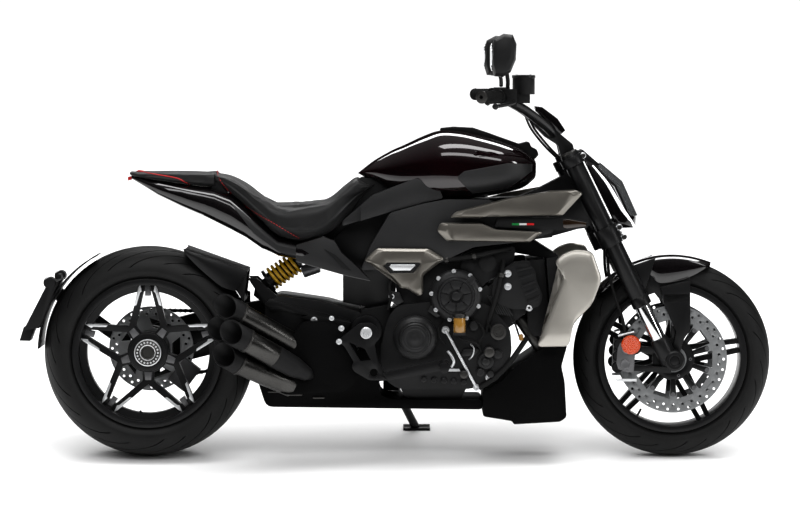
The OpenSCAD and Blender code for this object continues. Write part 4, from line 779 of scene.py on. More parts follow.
def makeWheelTrim():
    # rear wheel: bright blades along the spokes, their feet, and blocks at the rim and hub
    centre, step = tyres["rear"]["centre"], 360 / rearWheel["spokes"]
    blades, feet, blocks = [], [], []
    for k in range(rearWheel["spokes"]):
        for s in (1, -1):
            a, b = (np.array(rearWheel[q]) * (1, s) for q in ("barFrom", "barTo"))
            length, t = np.linalg.norm(b - a), unit(b - a)
            n = np.array([-t[1], t[0]]) * s
            for key, group in (("blade", blades), ("foot", feet)):
                outline = [a + f * length * t + o * n for f, o in rearWheel[key]]
                group.append(plateParts(spun(outline, centre, 90 + step * k), *rearWheel[key + "Y"]))
        for key, first in (("rimBlock", 90), ("hubBlock", 126)):
            blocks.append(plateParts(spun(rearWheel[key], centre, first + step * k), *rearWheel[key + "Y"]))
    build("rearWheelBlades", blades, "rear_wheel", "silver", 0.0006)
    build("rearWheelFeet", feet, "rear_wheel", "satin", 0.0015)
    build("rearWheelBlocks", blocks, "rear_wheel", "caliper", 0.0012)
    core = [turned(rearWheel["core"], (centre[0], rearWheel["coreY"], centre[2]), rightSide, 40),
            turned(rearWheel["flange"], (centre[0], rearWheel["flangeY"], centre[2]), rightSide, 60, True)]
    build("rearAxleCore", core, "rear_wheel", "darkSteel")
    heads = [head for row in rearWheel["circles"] for head in boltCircle(centre, *row)]
    build("rearWheelBolts", heads, "rear_wheel", "silver")
    # front wheel: disc carriers with their arms, bobbins and hub bolts
    rearValve = np.array(rearWheel["valve"]) + centre
    centre, step = tyres["front"]["centre"], 360 / frontWheel["arms"]
    arms = [plateParts(spun(frontWheel["arm"], centre, step * (k + 0.5)), *frontWheel["armY"])
            for k in range(frontWheel["arms"])]
    ring = turned(frontWheel["ring"], (centre[0], frontWheel["ringY"], centre[2]), rightSide, 60, True)
    build("discCarriers", both(arms + [ring]), "front_wheel", "satin", 0.0008)
    heads = [head for row in frontWheel["circles"] for head in boltCircle(centre, *row)]
    build("discBobbins", both(heads), "front_wheel", "caliper")
    frontValve = [aroundAxle(centre, r, frontWheel["valveTurn"], y) for r, y in frontWheel["valve"]]
    build("frontValve", [tubeParts(frontValve, *valveSize)], "front_wheel", "darkSteel")
    build("rearValve", [tubeParts(rearValve, *valveSize)], "rear_wheel", "darkSteel")


engineTrim = {
    "clutch": (136, 0, 500), "clutchBolts": (74, -176, 9, (5.2, 6), 15),
    "leftCover": (150, 0, 378), "leftBolts": (100, 179, 10, (5.2, 6)),
    "bolts": (((292, -154, 565), 8.5, 6, 18), ((292, -154, 526), 8.5, 6, 18), ((356, -150, 462), 8.5, 6, 18),
              ((236, -150, 251), 8.5, 6, 18), ((105, -150, 395), 9, 12, 14), ((198, -150, 221), 8, 12, 14),
              ((-56, -150, 496), 8, 8, 14)),
    "hub": ((14, 0), (14, 7), (10, 8.5), (5, 8.5)), "hubY": -195.5,
    "ring": ((48, 0), (54, 0), (53, 3.5), (49, 3.5)), "ringY": -201.5,
    "ribs": 7, "ribTurn": 12, "ribGap": 3, "ribReach": (22, 47), "ribY": (-205, -195),
    "arm": ((-10, -11), (76, -9), (80, 0), (76, 9), (-10, 11)), "armY": -198,
    "armAlong": (0.68, 0, 0.73), "armAcross": (0.73, 0, -0.68), "armDeep": (0, 11),
    "lowerCover": ((((40, 0), (40, 3), (37, 4.5), (30, 4.5), (28, 3), (12, 3), (10, 4), (3, 4)),
                    (13, -217.8, 374), 48),),
    "caps": ((((23.5, 0), (23.5, 3), (20, 4), (15, 4), (14, 2.5), (9, 2.5), (8, 4), (2, 4)), (263, -191.5, 392), 36),
             (((15, 0), (15, 3), (12, 4.5), (4, 4.5)), (236, -179.5, 330), 30),
             (((11.5, 0), (11.5, 4), (9, 5), (3, 5)), (160, -171.5, 262), 24)),
    "rod": ((105, -161, 395), (152, -160, 308), (198, -161, 221)), "rodSize": (4.2, 14),
    "pipes": ((((112, -150, 330), (121, -158, 320), (130, -160, 300), (124, -150, 284)), 4.5, 12),
              (((180, -150, 352), (190, -160, 340), (186, -162, 318), (176, -150, 306)), 2.6, 12)),
    "lever": ((0, -4), (74, -4), (70, 4), (4, 4)), "leverAt": (76, -150, 274), "leverDeep": (-1, 5)}
pump = {
    "caps": ((((26, -2), (26, 8), (22, 12), (14, 12), (12, 20), (8, 22), (2, 22)), (226, -150, 300), 32),
             (((14, -2), (14, 14), (11, 17), (3, 17)), (262, -150, 322), 24),
             (((12, -2), (12, 18), (9, 20), (3, 20)), (210, -150, 268), 24),
             (((16, -2), (16, 9), (12, 12), (3, 12)), (190, -150, 408), 28)),
    "plates": ((((150, 316), (160, 338), (206, 338), (192, 318)), (-160, -149)),
               (((52, 452), (60, 470), (102, 462), (96, 440), (78, 434)), (-168, -149)),
               (((-66, 486), (-60, 512), (-34, 508), (-22, 480), (-40, 470)), (-156, -138))),
    "fin": ((0, -2), (64, -2), (64, 2), (0, 2)), "finAt": (232, -151, 498), "finStep": (7.2, 0, -1.0), "fins": 7,
    "finAlong": (0.5, 0, -0.87), "finAcross": (0.87, 0, 0.5), "finDeep": (-7, 2),
    "stud": ((9, 0), (9, 6), (6, 8), (2, 8)), "studAt": (40, -150, 246), "studStep": (30, 0, -2), "studs": 5}
engineLines = {
    "wires": ((((262, -146, 470), (240, -160, 452), (232, -166, 420), (244, -164, 396), (258, -160, 360)), 3.2, 8),
              (((300, -140, 450), (312, -156, 420), (320, -158, 396), (328, -150, 372)), 3.0, 8),
              (((120, -150, 420), (140, -168, 396), (150, -172, 372), (196, -168, 356), (214, -156, 330)), 3.4, 8),
              (((96, -150, 420), (84, -166, 400), (88, -168, 372), (104, -160, 352)), 3.2, 8),
              (((180, -150, 430), (206, -164, 416), (220, -168, 386), (206, -164, 360), (212, -156, 336)), 4.0, 8),
              (((-52, -146, 560), (-64, -158, 528), (-60, -158, 490), (-70, -150, 456)), 4.4, 10)),
    "hoses": ((((279, -140, 604), (272, -158, 560), (258, -163, 500), (240, -163, 440), (228, -150, 392)), 7.5, 12),
              (((50, -130, 596), (110, -150, 606), (190, -156, 618), (260, -148, 634), (300, -126, 640)), 8.5, 12),
              (((-60, -128, 560), (-20, -150, 590), (40, -150, 604), (104, -140, 600)), 6.5, 12),
              (((350, -136, 370), (322, -150, 330), (286, -152, 282), (246, -158, 246), (206, -150, 220)), 8.0, 12)),
    "plug": ((5, -10), (7, -8), (7, 6), (5, 9)), "plugAt": (332, -152, 372), "plugAlong": (0.2, 0, -1),
    "clip": ((10.5, -6), (11.5, -4), (11.5, 4), (10.5, 6)),
    "clips": (((272, -158, 560), (-10, -8, -60)), ((110, -150, 606), (60, -20, 12)), ((190, -156, 618), (75, 0, 14))),
    "cap": ((18.2, 0), (19.5, 1.5), (19.5, 11), (17, 13), (4, 13)), "capAt": (146, -204, 435.7)}
engineBlocks = {"rear": (((-150, 232), (-150, 452), (-60, 470), (-60, 236)), (-96, 96)),
                "fan": (((352, 372), (352, 604), (404, 606), (424, 372)), (-112, 112))}


def makeEngineTrim():
    spec = engineTrim
    cx, cz = spec["clutch"][::2]
    heads = boltCircle(spec["clutch"], *spec["clutchBolts"]) + boltCircle(spec["leftCover"], *spec["leftBolts"])
    heads += [bolt(place, rightSide, *size) for place, *size in spec["bolts"]]
    build("engineBolts", heads, "chassis", "silver")
    # clutch cover face: a hub and radial ribs between two rings
    ribs = [turned(spec["hub"], (cx, spec["hubY"], cz), rightSide, 28),
            turned(spec["ring"], (cx, spec["ringY"], cz), rightSide, 56, True)]
    step = 360 / spec["ribs"]
    for k in range(spec["ribs"]):
        a = np.radians(step * k + spec["ribTurn"] + np.linspace(spec["ribGap"], step - spec["ribGap"], 8))
        edges = zip(spec["ribReach"], (a, a[::-1]))
        outline = [(cx + r * math.cos(w), cz + r * math.sin(w)) for r, side in edges for w in side]
        ribs.append(plateParts(outline, *spec["ribY"]))
    ribs.append(prism(spec["arm"], (cx, spec["armY"], cz), spec["armAlong"], spec["armAcross"], *spec["armDeep"]))
    build("clutchRibs", ribs + capsOf(spec["lowerCover"]), "chassis", "cover", 0.0007)
    build("engineCaps", capsOf(spec["caps"]), "chassis", "darkSteel")
    lever = prism(spec["lever"], spec["leverAt"], (1, 0, 0), (0, 0, 1), *spec["leverDeep"])
    rods = [tubeParts(spec["rod"], *spec["rodSize"])] + hosesOf(spec["pipes"]) + [lever]
    build("engineRod", rods, "chassis", "silver")
    fins = [prism(pump["fin"], np.array(pump["finAt"]) + k * np.array(pump["finStep"]), pump["finAlong"],
                  pump["finAcross"], *pump["finDeep"]) for k in range(pump["fins"])]
    studs = [turned(pump["stud"], np.array(pump["studAt"]) + k * np.array(pump["studStep"]), rightSide, 18)
             for k in range(pump["studs"])]
    build("pumpParts", capsOf(pump["caps"]) + platesOf(pump["plates"]) + fins + studs, "chassis", "cover", 0.0008)
    lines = engineLines
    build("engineWires", hosesOf(lines["wires"]), "chassis", "rubber")
    build("wirePlug", [turned(lines["plug"], lines["plugAt"], lines["plugAlong"], 16)], "chassis", "amber")
    build("rearCasting", platesOf([engineBlocks["rear"]]), "chassis", "cast", 0.003)
    build("fanShroud", platesOf([engineBlocks["fan"]]), "chassis", "plastic", 0.003)
    build("engineHoses", hosesOf(lines["hoses"]), "chassis", "rubber")
    build("hoseClips", [turned(lines["clip"], *clip, 20) for clip in lines["clips"]], "chassis", "darkSteel")
    build("reservoirCap", [turned(lines["cap"], lines["capAt"], (0, 0, 1), 32)], "chassis", "darkSteel")


lampTrim = {"strip": ((66.7, 65.5, 635.6), (75, 69.5, 603), (83, 71.6, 568), (87, 71.5, 522), (90.2, 70, 476),
                      (96, 61, 440), (100, 50, 412)), "radius": (2.6, 3.4, 4.2, 5.0, 5.6, 6.0, 4.5),
            "visor": ((506, 912), (510, 930), (521, 935), (573, 890), (566, 884), (546, 888)), "visorY": (-44, 44)}


def makeLampTrim():
    # daylight strip: a tube along the lamp's side that widens downwards
    path = splineRows(np.array(lampTrim["strip"]) * (1, -1, 1), 8)
    knots = np.linspace(0, 1, len(lampTrim["radius"]))
    radius = np.interp(np.linspace(0, 1, len(path)), knots, lampTrim["radius"])
    build("daylightStrips", both([tubeParts(onHead(path), radius, 12)]), "steering", "white")
    build("lampVisor", [plateParts(lampTrim["visor"], *lampTrim["visorY"])], "steering", "plastic", 0.003)


tail = {"rows": [(-845, 856, 850, 845, 56, .6), (-764, 841, 818, 794, 92, .56), (-690, 830.5, 796, 758, 108, .56),
                 (-620, 821, 776, 728, 118, .56), (-592, 817.5, 766, 714, 121, .56),
                 (-544, 799.5, 744, 690, 126, .56), (-496, 759.5, 712, 665, 134, .56),
                 (-447, 714.5, 672, 632, 142, .56), (-398, 671.5, 640, 612, 146, .56),
                 (-325, 655.5, 626, 598, 146, .56), (-250, 650, 622, 596, 140, .56)],
        "top": ((-552, 797), (-504, 758), (-447, 708), (-398, 664), (-345, 650)),
        "low": ((-552, 790), (-472, 686), (-396, 630), (-345, 608)),
        "lift": 1.4, "thick": 2.6, "wingY": (-144.4, -142.6), "recessY": (-145.6, -144),
        "wing": ((-344, 602), (-344, 650), (-262, 675), (-229, 662), (-208, 627), (-158, 582), (-121, 543),
                 (-189, 558)),
        "recess": ((-262, 640), (-226, 622), (-178, 574), (-204, 580))}


def makeTailPanels():
    skin = patchSkin(np.array(tail["rows"], float), tail["top"], tail["low"], tail["lift"])
    panel = [shellParts(skin, tail["thick"]), plateParts(tail["wing"], *tail["wingY"])]
    build("tailPanels", both(panel), "chassis", "greyPanel", 0.0006)
    build("tailRecess", both([plateParts(tail["recess"], *tail["recessY"])]), "chassis", "plastic", 0.0006)


badge = {"outline": ((-80, 589), (-71, 599), (26, 599), (30, 595), (8, 569), (-62, 568)), "y": (-175.2, -172.6),
         "inner": (0.72, 0.6), "innerY": (-176.4, -174.7)}
stripes = {"from": 303, "width": 22, "low": 712, "top": 718, "y": (-183.9, -182.6),
           "looks": (("stripeGreen", "green"), ("stripeWhite", "plate"), ("stripeRed", "red"))}


def makeBadges():
    # blank bright plate on a dark one in the recess of the vee cover, and three plain stripes
    o = np.array(badge["outline"], float)
    inner = o.mean(0) + (o - o.mean(0)) * badge["inner"]
    build("badgeRims", [plateParts(o, *badge["y"])], "chassis", "plastic", 0.0006)
    build("badgePlates", [plateParts(inner, *badge["innerY"])], "chassis", "silver", 0.0008)
    low, top = stripes["low"], stripes["top"]
    for k, (name, look) in enumerate(stripes["looks"]):
        x0, x1 = (stripes["from"] + stripes["width"] * q for q in (k, k + 1))
        build(name, [plateParts(((x0, low), (x0, top), (x1, top), (x1, low)), *stripes["y"])], "chassis", look)


# places on the fork are in the steering frame, the axle cap's alone in the bike's
fork = {"ears": ((57, 436), (57, 403), (52, 678)), "earY": (-128, -90), "ear": ((6, 0), (9, 2), (9, 36), (6, 38)),
        "lug": ((-26, -7), (2, -7), (2, 7), (-26, 7)), "lugDeep": (2, 36), "earBolt": (5.6, 5),
        "top": ((26, 0), (26, 5), (22, 7), (13, 7), (12, 5), (5, 5)), "topAt": (17, -107, 699),
        "collar": ((27.8, -16), (30, -14), (30, 12), (27.5, 16), (22.2, 16), (22.2, -16)),
        "collarAt": (17, -107, 206),
        "shoe": ((22.3, 2), (26, 4), (28.5, 10), (28.5, 62), (26.5, 70), (22.3, 72)), "shoeAt": (17, -107, 8),
        "shoeY": (-135.5, -84.5),
        "axleCap": ((14, 0), (29, 0), (29, 5), (25, 8), (17, 8), (14, 6)), "axleAt": (frontX, -129.6, 300)}
# places on the caliper are from the axle along its own turned axes, its pins in the bike's frame
caliper = {"turn": 176, "face": -98, "deep": (0.2, 5),
           "plate": ((120, -44), (120, 44), (136, 47), (166, 40), (173, 22), (173, -22), (166, -40), (136, -47)),
           "cap": ((16, 0), (16, 3.5), (13, 4.5), (11, 3), (3, 3)), "capsAt": ((146, -24), (146, 24)), "capLift": 4.5,
           "lump": ((15, -10), (18, -8), (18, 0), (15, 4), (5, 4)), "lumpsAt": ((168, -34), (168, 0), (168, 34)),
           "foot": ((20, -10), (24, -8), (24, -4), (18, 2), (6, 2)), "footAt": (122, -30),
           "pins": ((((622, -96, 238), (684, -96, 238)), 4.5, 14), (((628, -92, 372), (676, -92, 384)), 4, 12))}
reflector = {"centre": (666, 346), "radius": 27, "y": -106.8, "facets": 9, "lift": 1.6, "edge": 0.93}


def makeForkTrim():
    ahead, up = (onHead(q) - onHead((0, 0, 0)) for q in ((1, 0, 0), (0, 0, 1)))
    ears, heads = [], []
    for a, t in fork["ears"]:
        p0, p1 = (onHead((a, y, t)) for y in fork["earY"])
        ears += [turned(fork["ear"], p0, p1 - p0, 20), prism(fork["lug"], p1, ahead, up, *fork["lugDeep"])]
        heads.append(bolt(p0, rightSide, *fork["earBolt"]))
    build("clampEars", both(ears), "steering", "silver", 0.001)
    heads.append(turned(fork["top"], onHead(fork["topAt"]), up, 32))
    build("forkBolts", both(heads), "steering", "darkSteel")
    # the shoe round the leg's foot is flattened where it would come near the disc
    shoe, shoeFaces = turned(fork["shoe"], onHead(fork["shoeAt"]), up, 40, True)
    shoe[:, 1] = np.clip(shoe[:, 1], *fork["shoeY"])
    collars = [turned(fork["collar"], onHead(fork["collarAt"]), up, 40, True), (shoe, shoeFaces),
               turned(fork["axleCap"], fork["axleAt"], rightSide, 40, True)]
    build("forkCollars", both(collars), "steering", "satin")
    # caliper: outer plate with two piston caps, set square to the axle line at the caliper's own turn
    a = math.radians(caliper["turn"])
    u, v, w = np.array([math.cos(a), 0, math.sin(a)]), np.array([-math.sin(a), 0, math.cos(a)]), np.array(rightSide)
    base = np.array([frontX, caliper["face"], stance["frontRadius"]])
    plate = prism(caliper["plate"], base, u, v, *caliper["deep"])
    caps = [turned(caliper["cap"], base + p * u + q * v + caliper["capLift"] * w, w, 28)
            for p, q in caliper["capsAt"]]
    build("caliperPlates", both([plate] + caps), "steering", "caliper", 0.0012)
    lumps = [turned(caliper["lump"], base + p * u + q * v, w, 24) for p, q in caliper["lumpsAt"]]
    lumps.append(turned(caliper["foot"], base + caliper["footAt"][0] * u + caliper["footAt"][1] * v, w, 28))
    build("caliperLumps", both(lumps), "steering", "satin")
    build("caliperPins", both([tubeParts(*pin) for pin in caliper["pins"]]), "steering", "silver")
    # reflector face: the product of two sine waves raises a field of small facets
    g, h = discGrid(49)
    wave = np.abs(np.sin(reflector["facets"] * math.pi * g / 2) * np.sin(reflector["facets"] * math.pi * h / 2))
    lift = reflector["lift"] * wave * (g * g + h * h < reflector["edge"])
    x, z = (c + reflector["radius"] * q for c, q in zip(reflector["centre"], (g, h)))
    face = shellParts(np.stack([x, reflector["y"] - lift, z], -1), 1.0)
    build("reflectorFacets", both([face]), "steering", "orange")


bars = {"gripFrom": (262, 330, 1098), "gripTo": (205, 425, 1097), "ridges": 26, "gripRadius": 17.2, "ridge": 0.8,
        "bore": ((4.2, 0.999), (4.2, 0.8), (10, 0.06)),
        "endRing": ((17.5, -4), (18.6, -3), (18.6, 0.6), (16, 1.6), (6, 1.6), (5, -4)),
        "button": ((4.6, 0), (4.6, 3), (3.6, 4), (1.5, 4)), "buttonsAt": ((262.4, 301, 1100), (262.4, 311, 1100)),
        "rocker": ((-9, -4), (9, -4), (9, 4), (-9, 4)), "rockerAt": (262.4, 308, 1082), "rockerDeep": (-4, 1),
        "ball": ((3, -9), (7, -7), (9.5, 0), (7, 7), (3, 9)), "ballAt": (246, 425, 1070), "ballAlong": (-50, 75, -8),
        "lid": ((33.5, 0), (35, 1.5), (35, 8), (32, 10), (26, 10), (25, 8.5), (6, 8.5)), "lidAt": (334, -262, 1151.5),
        "screws": (0.8, 2.4, 3.9, 5.5), "screwReach": 29.5, "screwZ": 1161, "screwSize": (2.6, 2),
        "cables": (
            (((352, -150, 1042), (372, -96, 1000), (412, -72, 950), (446, -52, 914), (464, -44, 890)), 3.6, 12),
            (((352, 150, 1042), (370, 100, 996), (410, 74, 944), (446, 54, 908), (464, 46, 888)), 3.6, 12))}


def makeBars():
    # grip: a tube whose radius ripples along its length, with a plain collar, left open for the bar end's hole
    a, b = np.array(bars["gripFrom"], float), np.array(bars["gripTo"], float)
    length = np.linalg.norm(b - a)
    t = np.linspace(0.06, 0.985, 12 * bars["ridges"])
    r = bars["gripRadius"] + bars["ridge"] * np.sin(2 * math.pi * bars["ridges"] * t) ** 3
    r = np.where(t < 0.11, 20.5, np.where(t > 0.95, 18.8, r))
    profile = np.concatenate([np.stack([r, t], -1), bars["bore"]]) * (1, length)
    piece = build("gripRubbers", both([turned(profile, a, b - a, 40, True)]), "steering", "rubber")
    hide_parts("grips")
    build("barEndRings", both([turned(bars["endRing"], b, b - a, 36, True)]), "steering", "darkSteel")
    switches = [turned(bars["button"], place, (-1, 0, 0), 16) for place in bars["buttonsAt"]]
    switches.append(prism(bars["rocker"], bars["rockerAt"], (0, 1, 0), (0, 0, 1), *bars["rockerDeep"]))
    build("switchButtons", both(switches), "steering", "darkSteel", 0.0006)
    build("leverEnds", both([turned(bars["ball"], bars["ballAt"], bars["ballAlong"], 20)]), "steering", "satin")
    build("brakeCupLid", [turned(bars["lid"], bars["lidAt"], (0, 0, 1), 40)], "steering", "satin")
    x, y = bars["lidAt"][:2]
    reach = bars["screwReach"]
    screws = [bolt((x + reach * math.cos(q), y + reach * math.sin(q), bars["screwZ"]), (0, 0, 1), *bars["screwSize"])
              for q in bars["screws"]]
    build("brakeCupScrews", screws, "steering", "silver")
    build("barCables", hosesOf(bars["cables"]), "steering", "rubber")


mirrorGlass = {"centre": (401, 1214), "half": (50, 40), "about": (270, 1218),
               "rows": ((336, .45), (344, .8), (360, .96), (400, 1), (438, .96), (458, .82), (466, .5)),
               "rear": ((1155, 267), (1158, 242), (1188, 233), (1243, 233), (1267, 242), (1282, 270))}


def discGrid(n):
    # square grid pressed into the unit disc
    u, v = np.meshgrid(np.linspace(-1, 1, n), np.linspace(-1, 1, n), indexing="ij")
    return u * np.sqrt(1 - v * v / 2), v * np.sqrt(1 - u * u / 2)


keyBlock = {"outline": ((314, 938), (318, 950), (334, 953), (352, 958), (362, 956), (366, 943), (384, 934),
                        (390, 918), (378, 904), (330, 930)), "y": (-18, 18)}


def makeKeyBlock():
    build("keyBlock", [plateParts(keyBlock["outline"], *keyBlock["y"])], "chassis", "plastic", 0.004)


exhaust = {"base": (-392, -194, 305), "rise": 29, "turn": 24, "length": 150, "outlet": 78, "radius": 36, "wall": 5,
           "spread": ((0, 64, 33), (-40, 0, 4), (46, 0, -4), (0, -64, -33)), "faces": (-0.15, -1, 0), "slant": 50,
           "floor": 8, "band": ((0.4, -9), (1.8, -8), (1.8, -2), (0.4, -1), (-2, -1), (-2, -9)),
           "slots": ((-432, -394, 209), (-366, -326, 200), (-296, -259, 191)), "slotY": (-130.5, -127), "slotHalf": 3}


def slashTube(base, d, face, length, outer, inner, slant, floor, count=56):
    # tube whose mouth is cut on a slant: the wall is shorter on the side that faces along face
    f = unit(np.asarray(face, float) - np.dot(face, d) * d)
    a = roundAngles(count)[:, None]
    side = np.cos(a) * f + np.sin(a) * np.cross(d, f)
    mouth = length - slant * (1 + np.cos(a)) / 2
    rings = ((outer, 0 * a), (outer, mouth - 3), (outer - 1.5, mouth), (inner + 1, mouth), (inner, mouth - 2),
             (inner, floor))
    return loftParts(np.stack([base + r * side + h * d for r, h in rings]))


def makeExhaustTrim():
    rise, turn = math.radians(exhaust["rise"]), math.radians(exhaust["turn"])
    d = np.array([-math.cos(rise) * math.cos(turn), -math.cos(rise) * math.sin(turn), math.sin(rise)])
    e1 = np.array([math.sin(turn), -math.cos(turn), 0])
    e2 = np.cross(e1, d)
    e2 = e2 if e2[2] > 0 else -e2
    bands, tubes = [], []
    r = exhaust["radius"]
    for x, y, z in exhaust["spread"]:
        end = np.array(exhaust["base"], float) + x * e1 + y * e2 + z * d + (exhaust["length"] + 0.3) * d
        tubes.append(slashTube(end, d, exhaust["faces"], exhaust["outlet"], r + 0.6, r - exhaust["wall"],
                               exhaust["slant"], exhaust["floor"]))
        bands.append(turned(np.array(exhaust["band"]) + (r, 0), end, d, 48, True))
    piece = build("outletTubes", tubes, "chassis", "plastic")
    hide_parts("silencer_outlets")
    build("canBands", bands, "chassis", "darkSteel")
    h = exhaust["slotHalf"]
    slots = [plateParts(((x0, z - h), (x0 + h, z), (x1 - h, z), (x1, z - h), (x1 - h, z - 2 * h),
                         (x0 + h, z - 2 * h)), *exhaust["slotY"]) for x0, x1, z in exhaust["slots"]]
    build("boxSlots", slots, "chassis", "darkSteel", 0.0008)


chassisTrim = {"bolts": (((-291, -119, 422), 8, 6), ((-236, -226, 436), 6, 5), ((-207, -226, 406), 7, 6),
                         ((-214, -226, 366), 7, 6)),
               "pivot": ((((17.5, 0), (17.5, 4), (15, 6), (9, 6), (8, 3), (3, 3)), (-133, -225.6, 392), 36),),
               "bottle": ((8, -28), (17, -27), (19, -24), (19, 22), (17, 26), (8, 28)),
               "bottleAt": (-303, -34, 571), "bottleAlong": (1, 0, 0.35),
               "lens": ((456, 706), (456, 728), (470, 730), (526, 720), (525, 709), (468, 702)),
               "lensY": (-185.0, -182.6)}
fins = {"top": (444.5, 0, 616), "along": (30.0, 0, -267.2), "half": (132, 0.9), "deep": (-1.6, 2.0),
        "margin": (14, 8), "step": 6.5}
stalk = {"reach": 360, "turn": 142.5, "radius": 17.2, "arc": (115, 245), "y": (-178, -140), "thick": 1.5}
hugger = {"low": ((-686, 638), (-679, 621), (-642, 582), (-598, 543), (-566, 520), (-528, 508)), "crest": (-494, 569),
          "y": 103.5, "bulge": 8.0, "thick": 3.0}
bridges = ((((-175, 830), (-150, 849), (-60, 850), (0, 820), (0, 700), (-240, 640), (-262, 658), (-240, 750)),
            (-60, 60)),
           (((-602, 810), (-602, 852), (-584, 852), (-552, 802), (-552, 792)), (-80, 80)))


def makeChassisTrim():
    heads = [bolt(place, rightSide, *size) for place, *size in chassisTrim["bolts"]]
    build("pivotCaps", both(heads + capsOf(chassisTrim["pivot"])), "chassis", "silver")
    bottle = turned(chassisTrim["bottle"], chassisTrim["bottleAt"], chassisTrim["bottleAlong"], 32)
    build("shockBottle", [bottle], "chassis", "caliper")
    # radiator fins: flat bars set one under the other along the core's slope
    slope, (wide, high) = unit(fins["along"]), fins["half"]
    bar = ((-wide, -high), (wide, -high), (wide, high), (-wide, high))
    places = np.arange(fins["margin"][0], np.linalg.norm(fins["along"]) - fins["margin"][1], fins["step"])
    rows = [prism(bar, np.array(fins["top"]) + slope * k, (0, 1, 0), slope, *fins["deep"]) for k in places]
    build("radiatorFins", rows, "chassis", "darkSteel")
    # indicator lens: a sheet rolled round the stalk's line
    a = np.radians(np.linspace(*stalk["arc"], 20))[:, None]
    y = np.linspace(*stalk["y"], 8)[None]
    middle = aroundAxle(tyres["rear"]["centre"], stalk["reach"], stalk["turn"], 0)
    roll = np.stack([middle[0] + stalk["radius"] * np.cos(a) + 0 * y, y + 0 * a,
                     middle[2] + stalk["radius"] * np.sin(a) + 0 * y], -1)
    build("indicatorLenses", both([shellParts(roll, stalk["thick"])]), "chassis", "smoked")
    # hugger side: a skin between its lower curve and the straight crest line, bulged outwards
    low = splineRows(hugger["low"], 10)
    t = np.linspace(0, 1, len(low))[:, None]
    s = np.linspace(0, 1, 16)[None, :]
    crest = low[0] + t * (hugger["crest"] - low[0])
    flat = low[:, None] * (1 - s[..., None]) + crest[:, None] * s[..., None]
    y = -hugger["y"] - hugger["bulge"] * np.sin(math.pi * (0.12 + 0.8 * s)) ** 0.8 * np.clip(t / 0.25, 0, 1)
    cheek = shellParts(np.stack([flat[..., 0], y, flat[..., 1]], -1), hugger["thick"])
    build("huggerSkirts", both([cheek]), "chassis", "satin", 0.001)
    # black mouldings that close the seat off towards the tank and the pillion pad
    build("seatBridge", platesOf(bridges), "chassis", "plastic", 0.002)
    lenses = both([plateParts(chassisTrim["lens"], *chassisTrim["lensY"])])
    build("frontIndicatorLenses", lenses, "chassis", "smoked", 0.0012)


chainLine = {"pitch": 15.875, "rear": (rearX, 320, 108.7), "drive": (-62, 378, 38), "y": 190}


def makeChain():
    # closed line of the chain round both sprockets: two arcs and their outer tangents, cut into pitches
    (x0, z0, r0), (x1, z1, r1) = chainLine["rear"], chainLine["drive"]
    gap = math.hypot(x1 - x0, z1 - z0)
    line, swing = math.atan2(z1 - z0, x1 - x0), math.acos((r0 - r1) / gap)
    back = np.linspace(line + swing, line + 2 * math.pi - swing, 200)
    ahead = np.linspace(line - swing, line + swing, 80)
    path = np.concatenate([np.stack([x0 + r0 * np.cos(back), z0 + r0 * np.sin(back)], -1),
                           np.stack([x1 + r1 * np.cos(ahead), z1 + r1 * np.sin(ahead)], -1)])
    path = np.concatenate([path, path[:1]])
    s = np.concatenate([[0], np.cumsum(np.linalg.norm(np.diff(path, axis=0), axis=1))])
    count = int(s[-1] / chainLine["pitch"]) // 2 * 2
    t = np.linspace(0, s[-1], count + 1)
    pins = np.stack([np.interp(t, s, path[:, k]) for k in (0, 1)], -1)
    y, parts = chainLine["y"], []
    for k in range(count):
        p, q = pins[k], pins[k + 1]
        u = unit(q - p)
        v = np.array([-u[1], u[0]])
        mid, half = (p + q) / 2, np.linalg.norm(q - p) / 2
        o = [(-half - 4, 3.6), (-half, 6.2), (-2, 4.4), (2, 4.4), (half, 6.2), (half + 4, 3.6)]
        o = np.array(o + [(c, -e) for c, e in o[::-1]])
        outline = mid + o[:, :1] * u + o[:, 1:] * v
        off = 5.2 if k % 2 else 7.0
        parts += [plateParts(outline, y + s0 * off, y + s0 * (off + 1.6)) for s0 in (-1, 1)]
        parts.append(tubeParts([(p[0], y - 8.8, p[1]), (p[0], y + 8.8, p[1])], 3.4, 6))
    piece = build("chainLinks", parts, "chassis", "darkSteel")
    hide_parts("chain")


def makeMirrors():
    # glass: a disc pressed onto the rear edge of the mirror shell, whose outline shrinks towards both ends
    u, v = discGrid(25)
    y = mirrorGlass["centre"][0] + mirrorGlass["half"][0] * u
    z = mirrorGlass["centre"][1] + mirrorGlass["half"][1] * v
    s = np.interp(y, *np.array(mirrorGlass["rows"]).T)
    ax, az = mirrorGlass["about"]
    x = ax + (np.interp(az + (z - az) / s, *np.array(mirrorGlass["rear"]).T) - ax) * s - 0.4
    glass = shellParts(np.stack([x, y, z], -1), 2.0)
    build("mirrorGlass", both([glass]), "steering", "chrome")


makeTank()
makeSeats()
makeTyre("front")
makeTyre("rear")
makeFrontGuard()
print("main skins made")
makeWheelTrim()
makeEngineTrim()
makeLampTrim()
makeTailPanels()
makeBadges()
print("side details made")
makeForkTrim()
makeBars()
makeMirrors()
makeKeyBlock()
makeExhaustTrim()
makeChassisTrim()
makeChain()
print("fittings made")

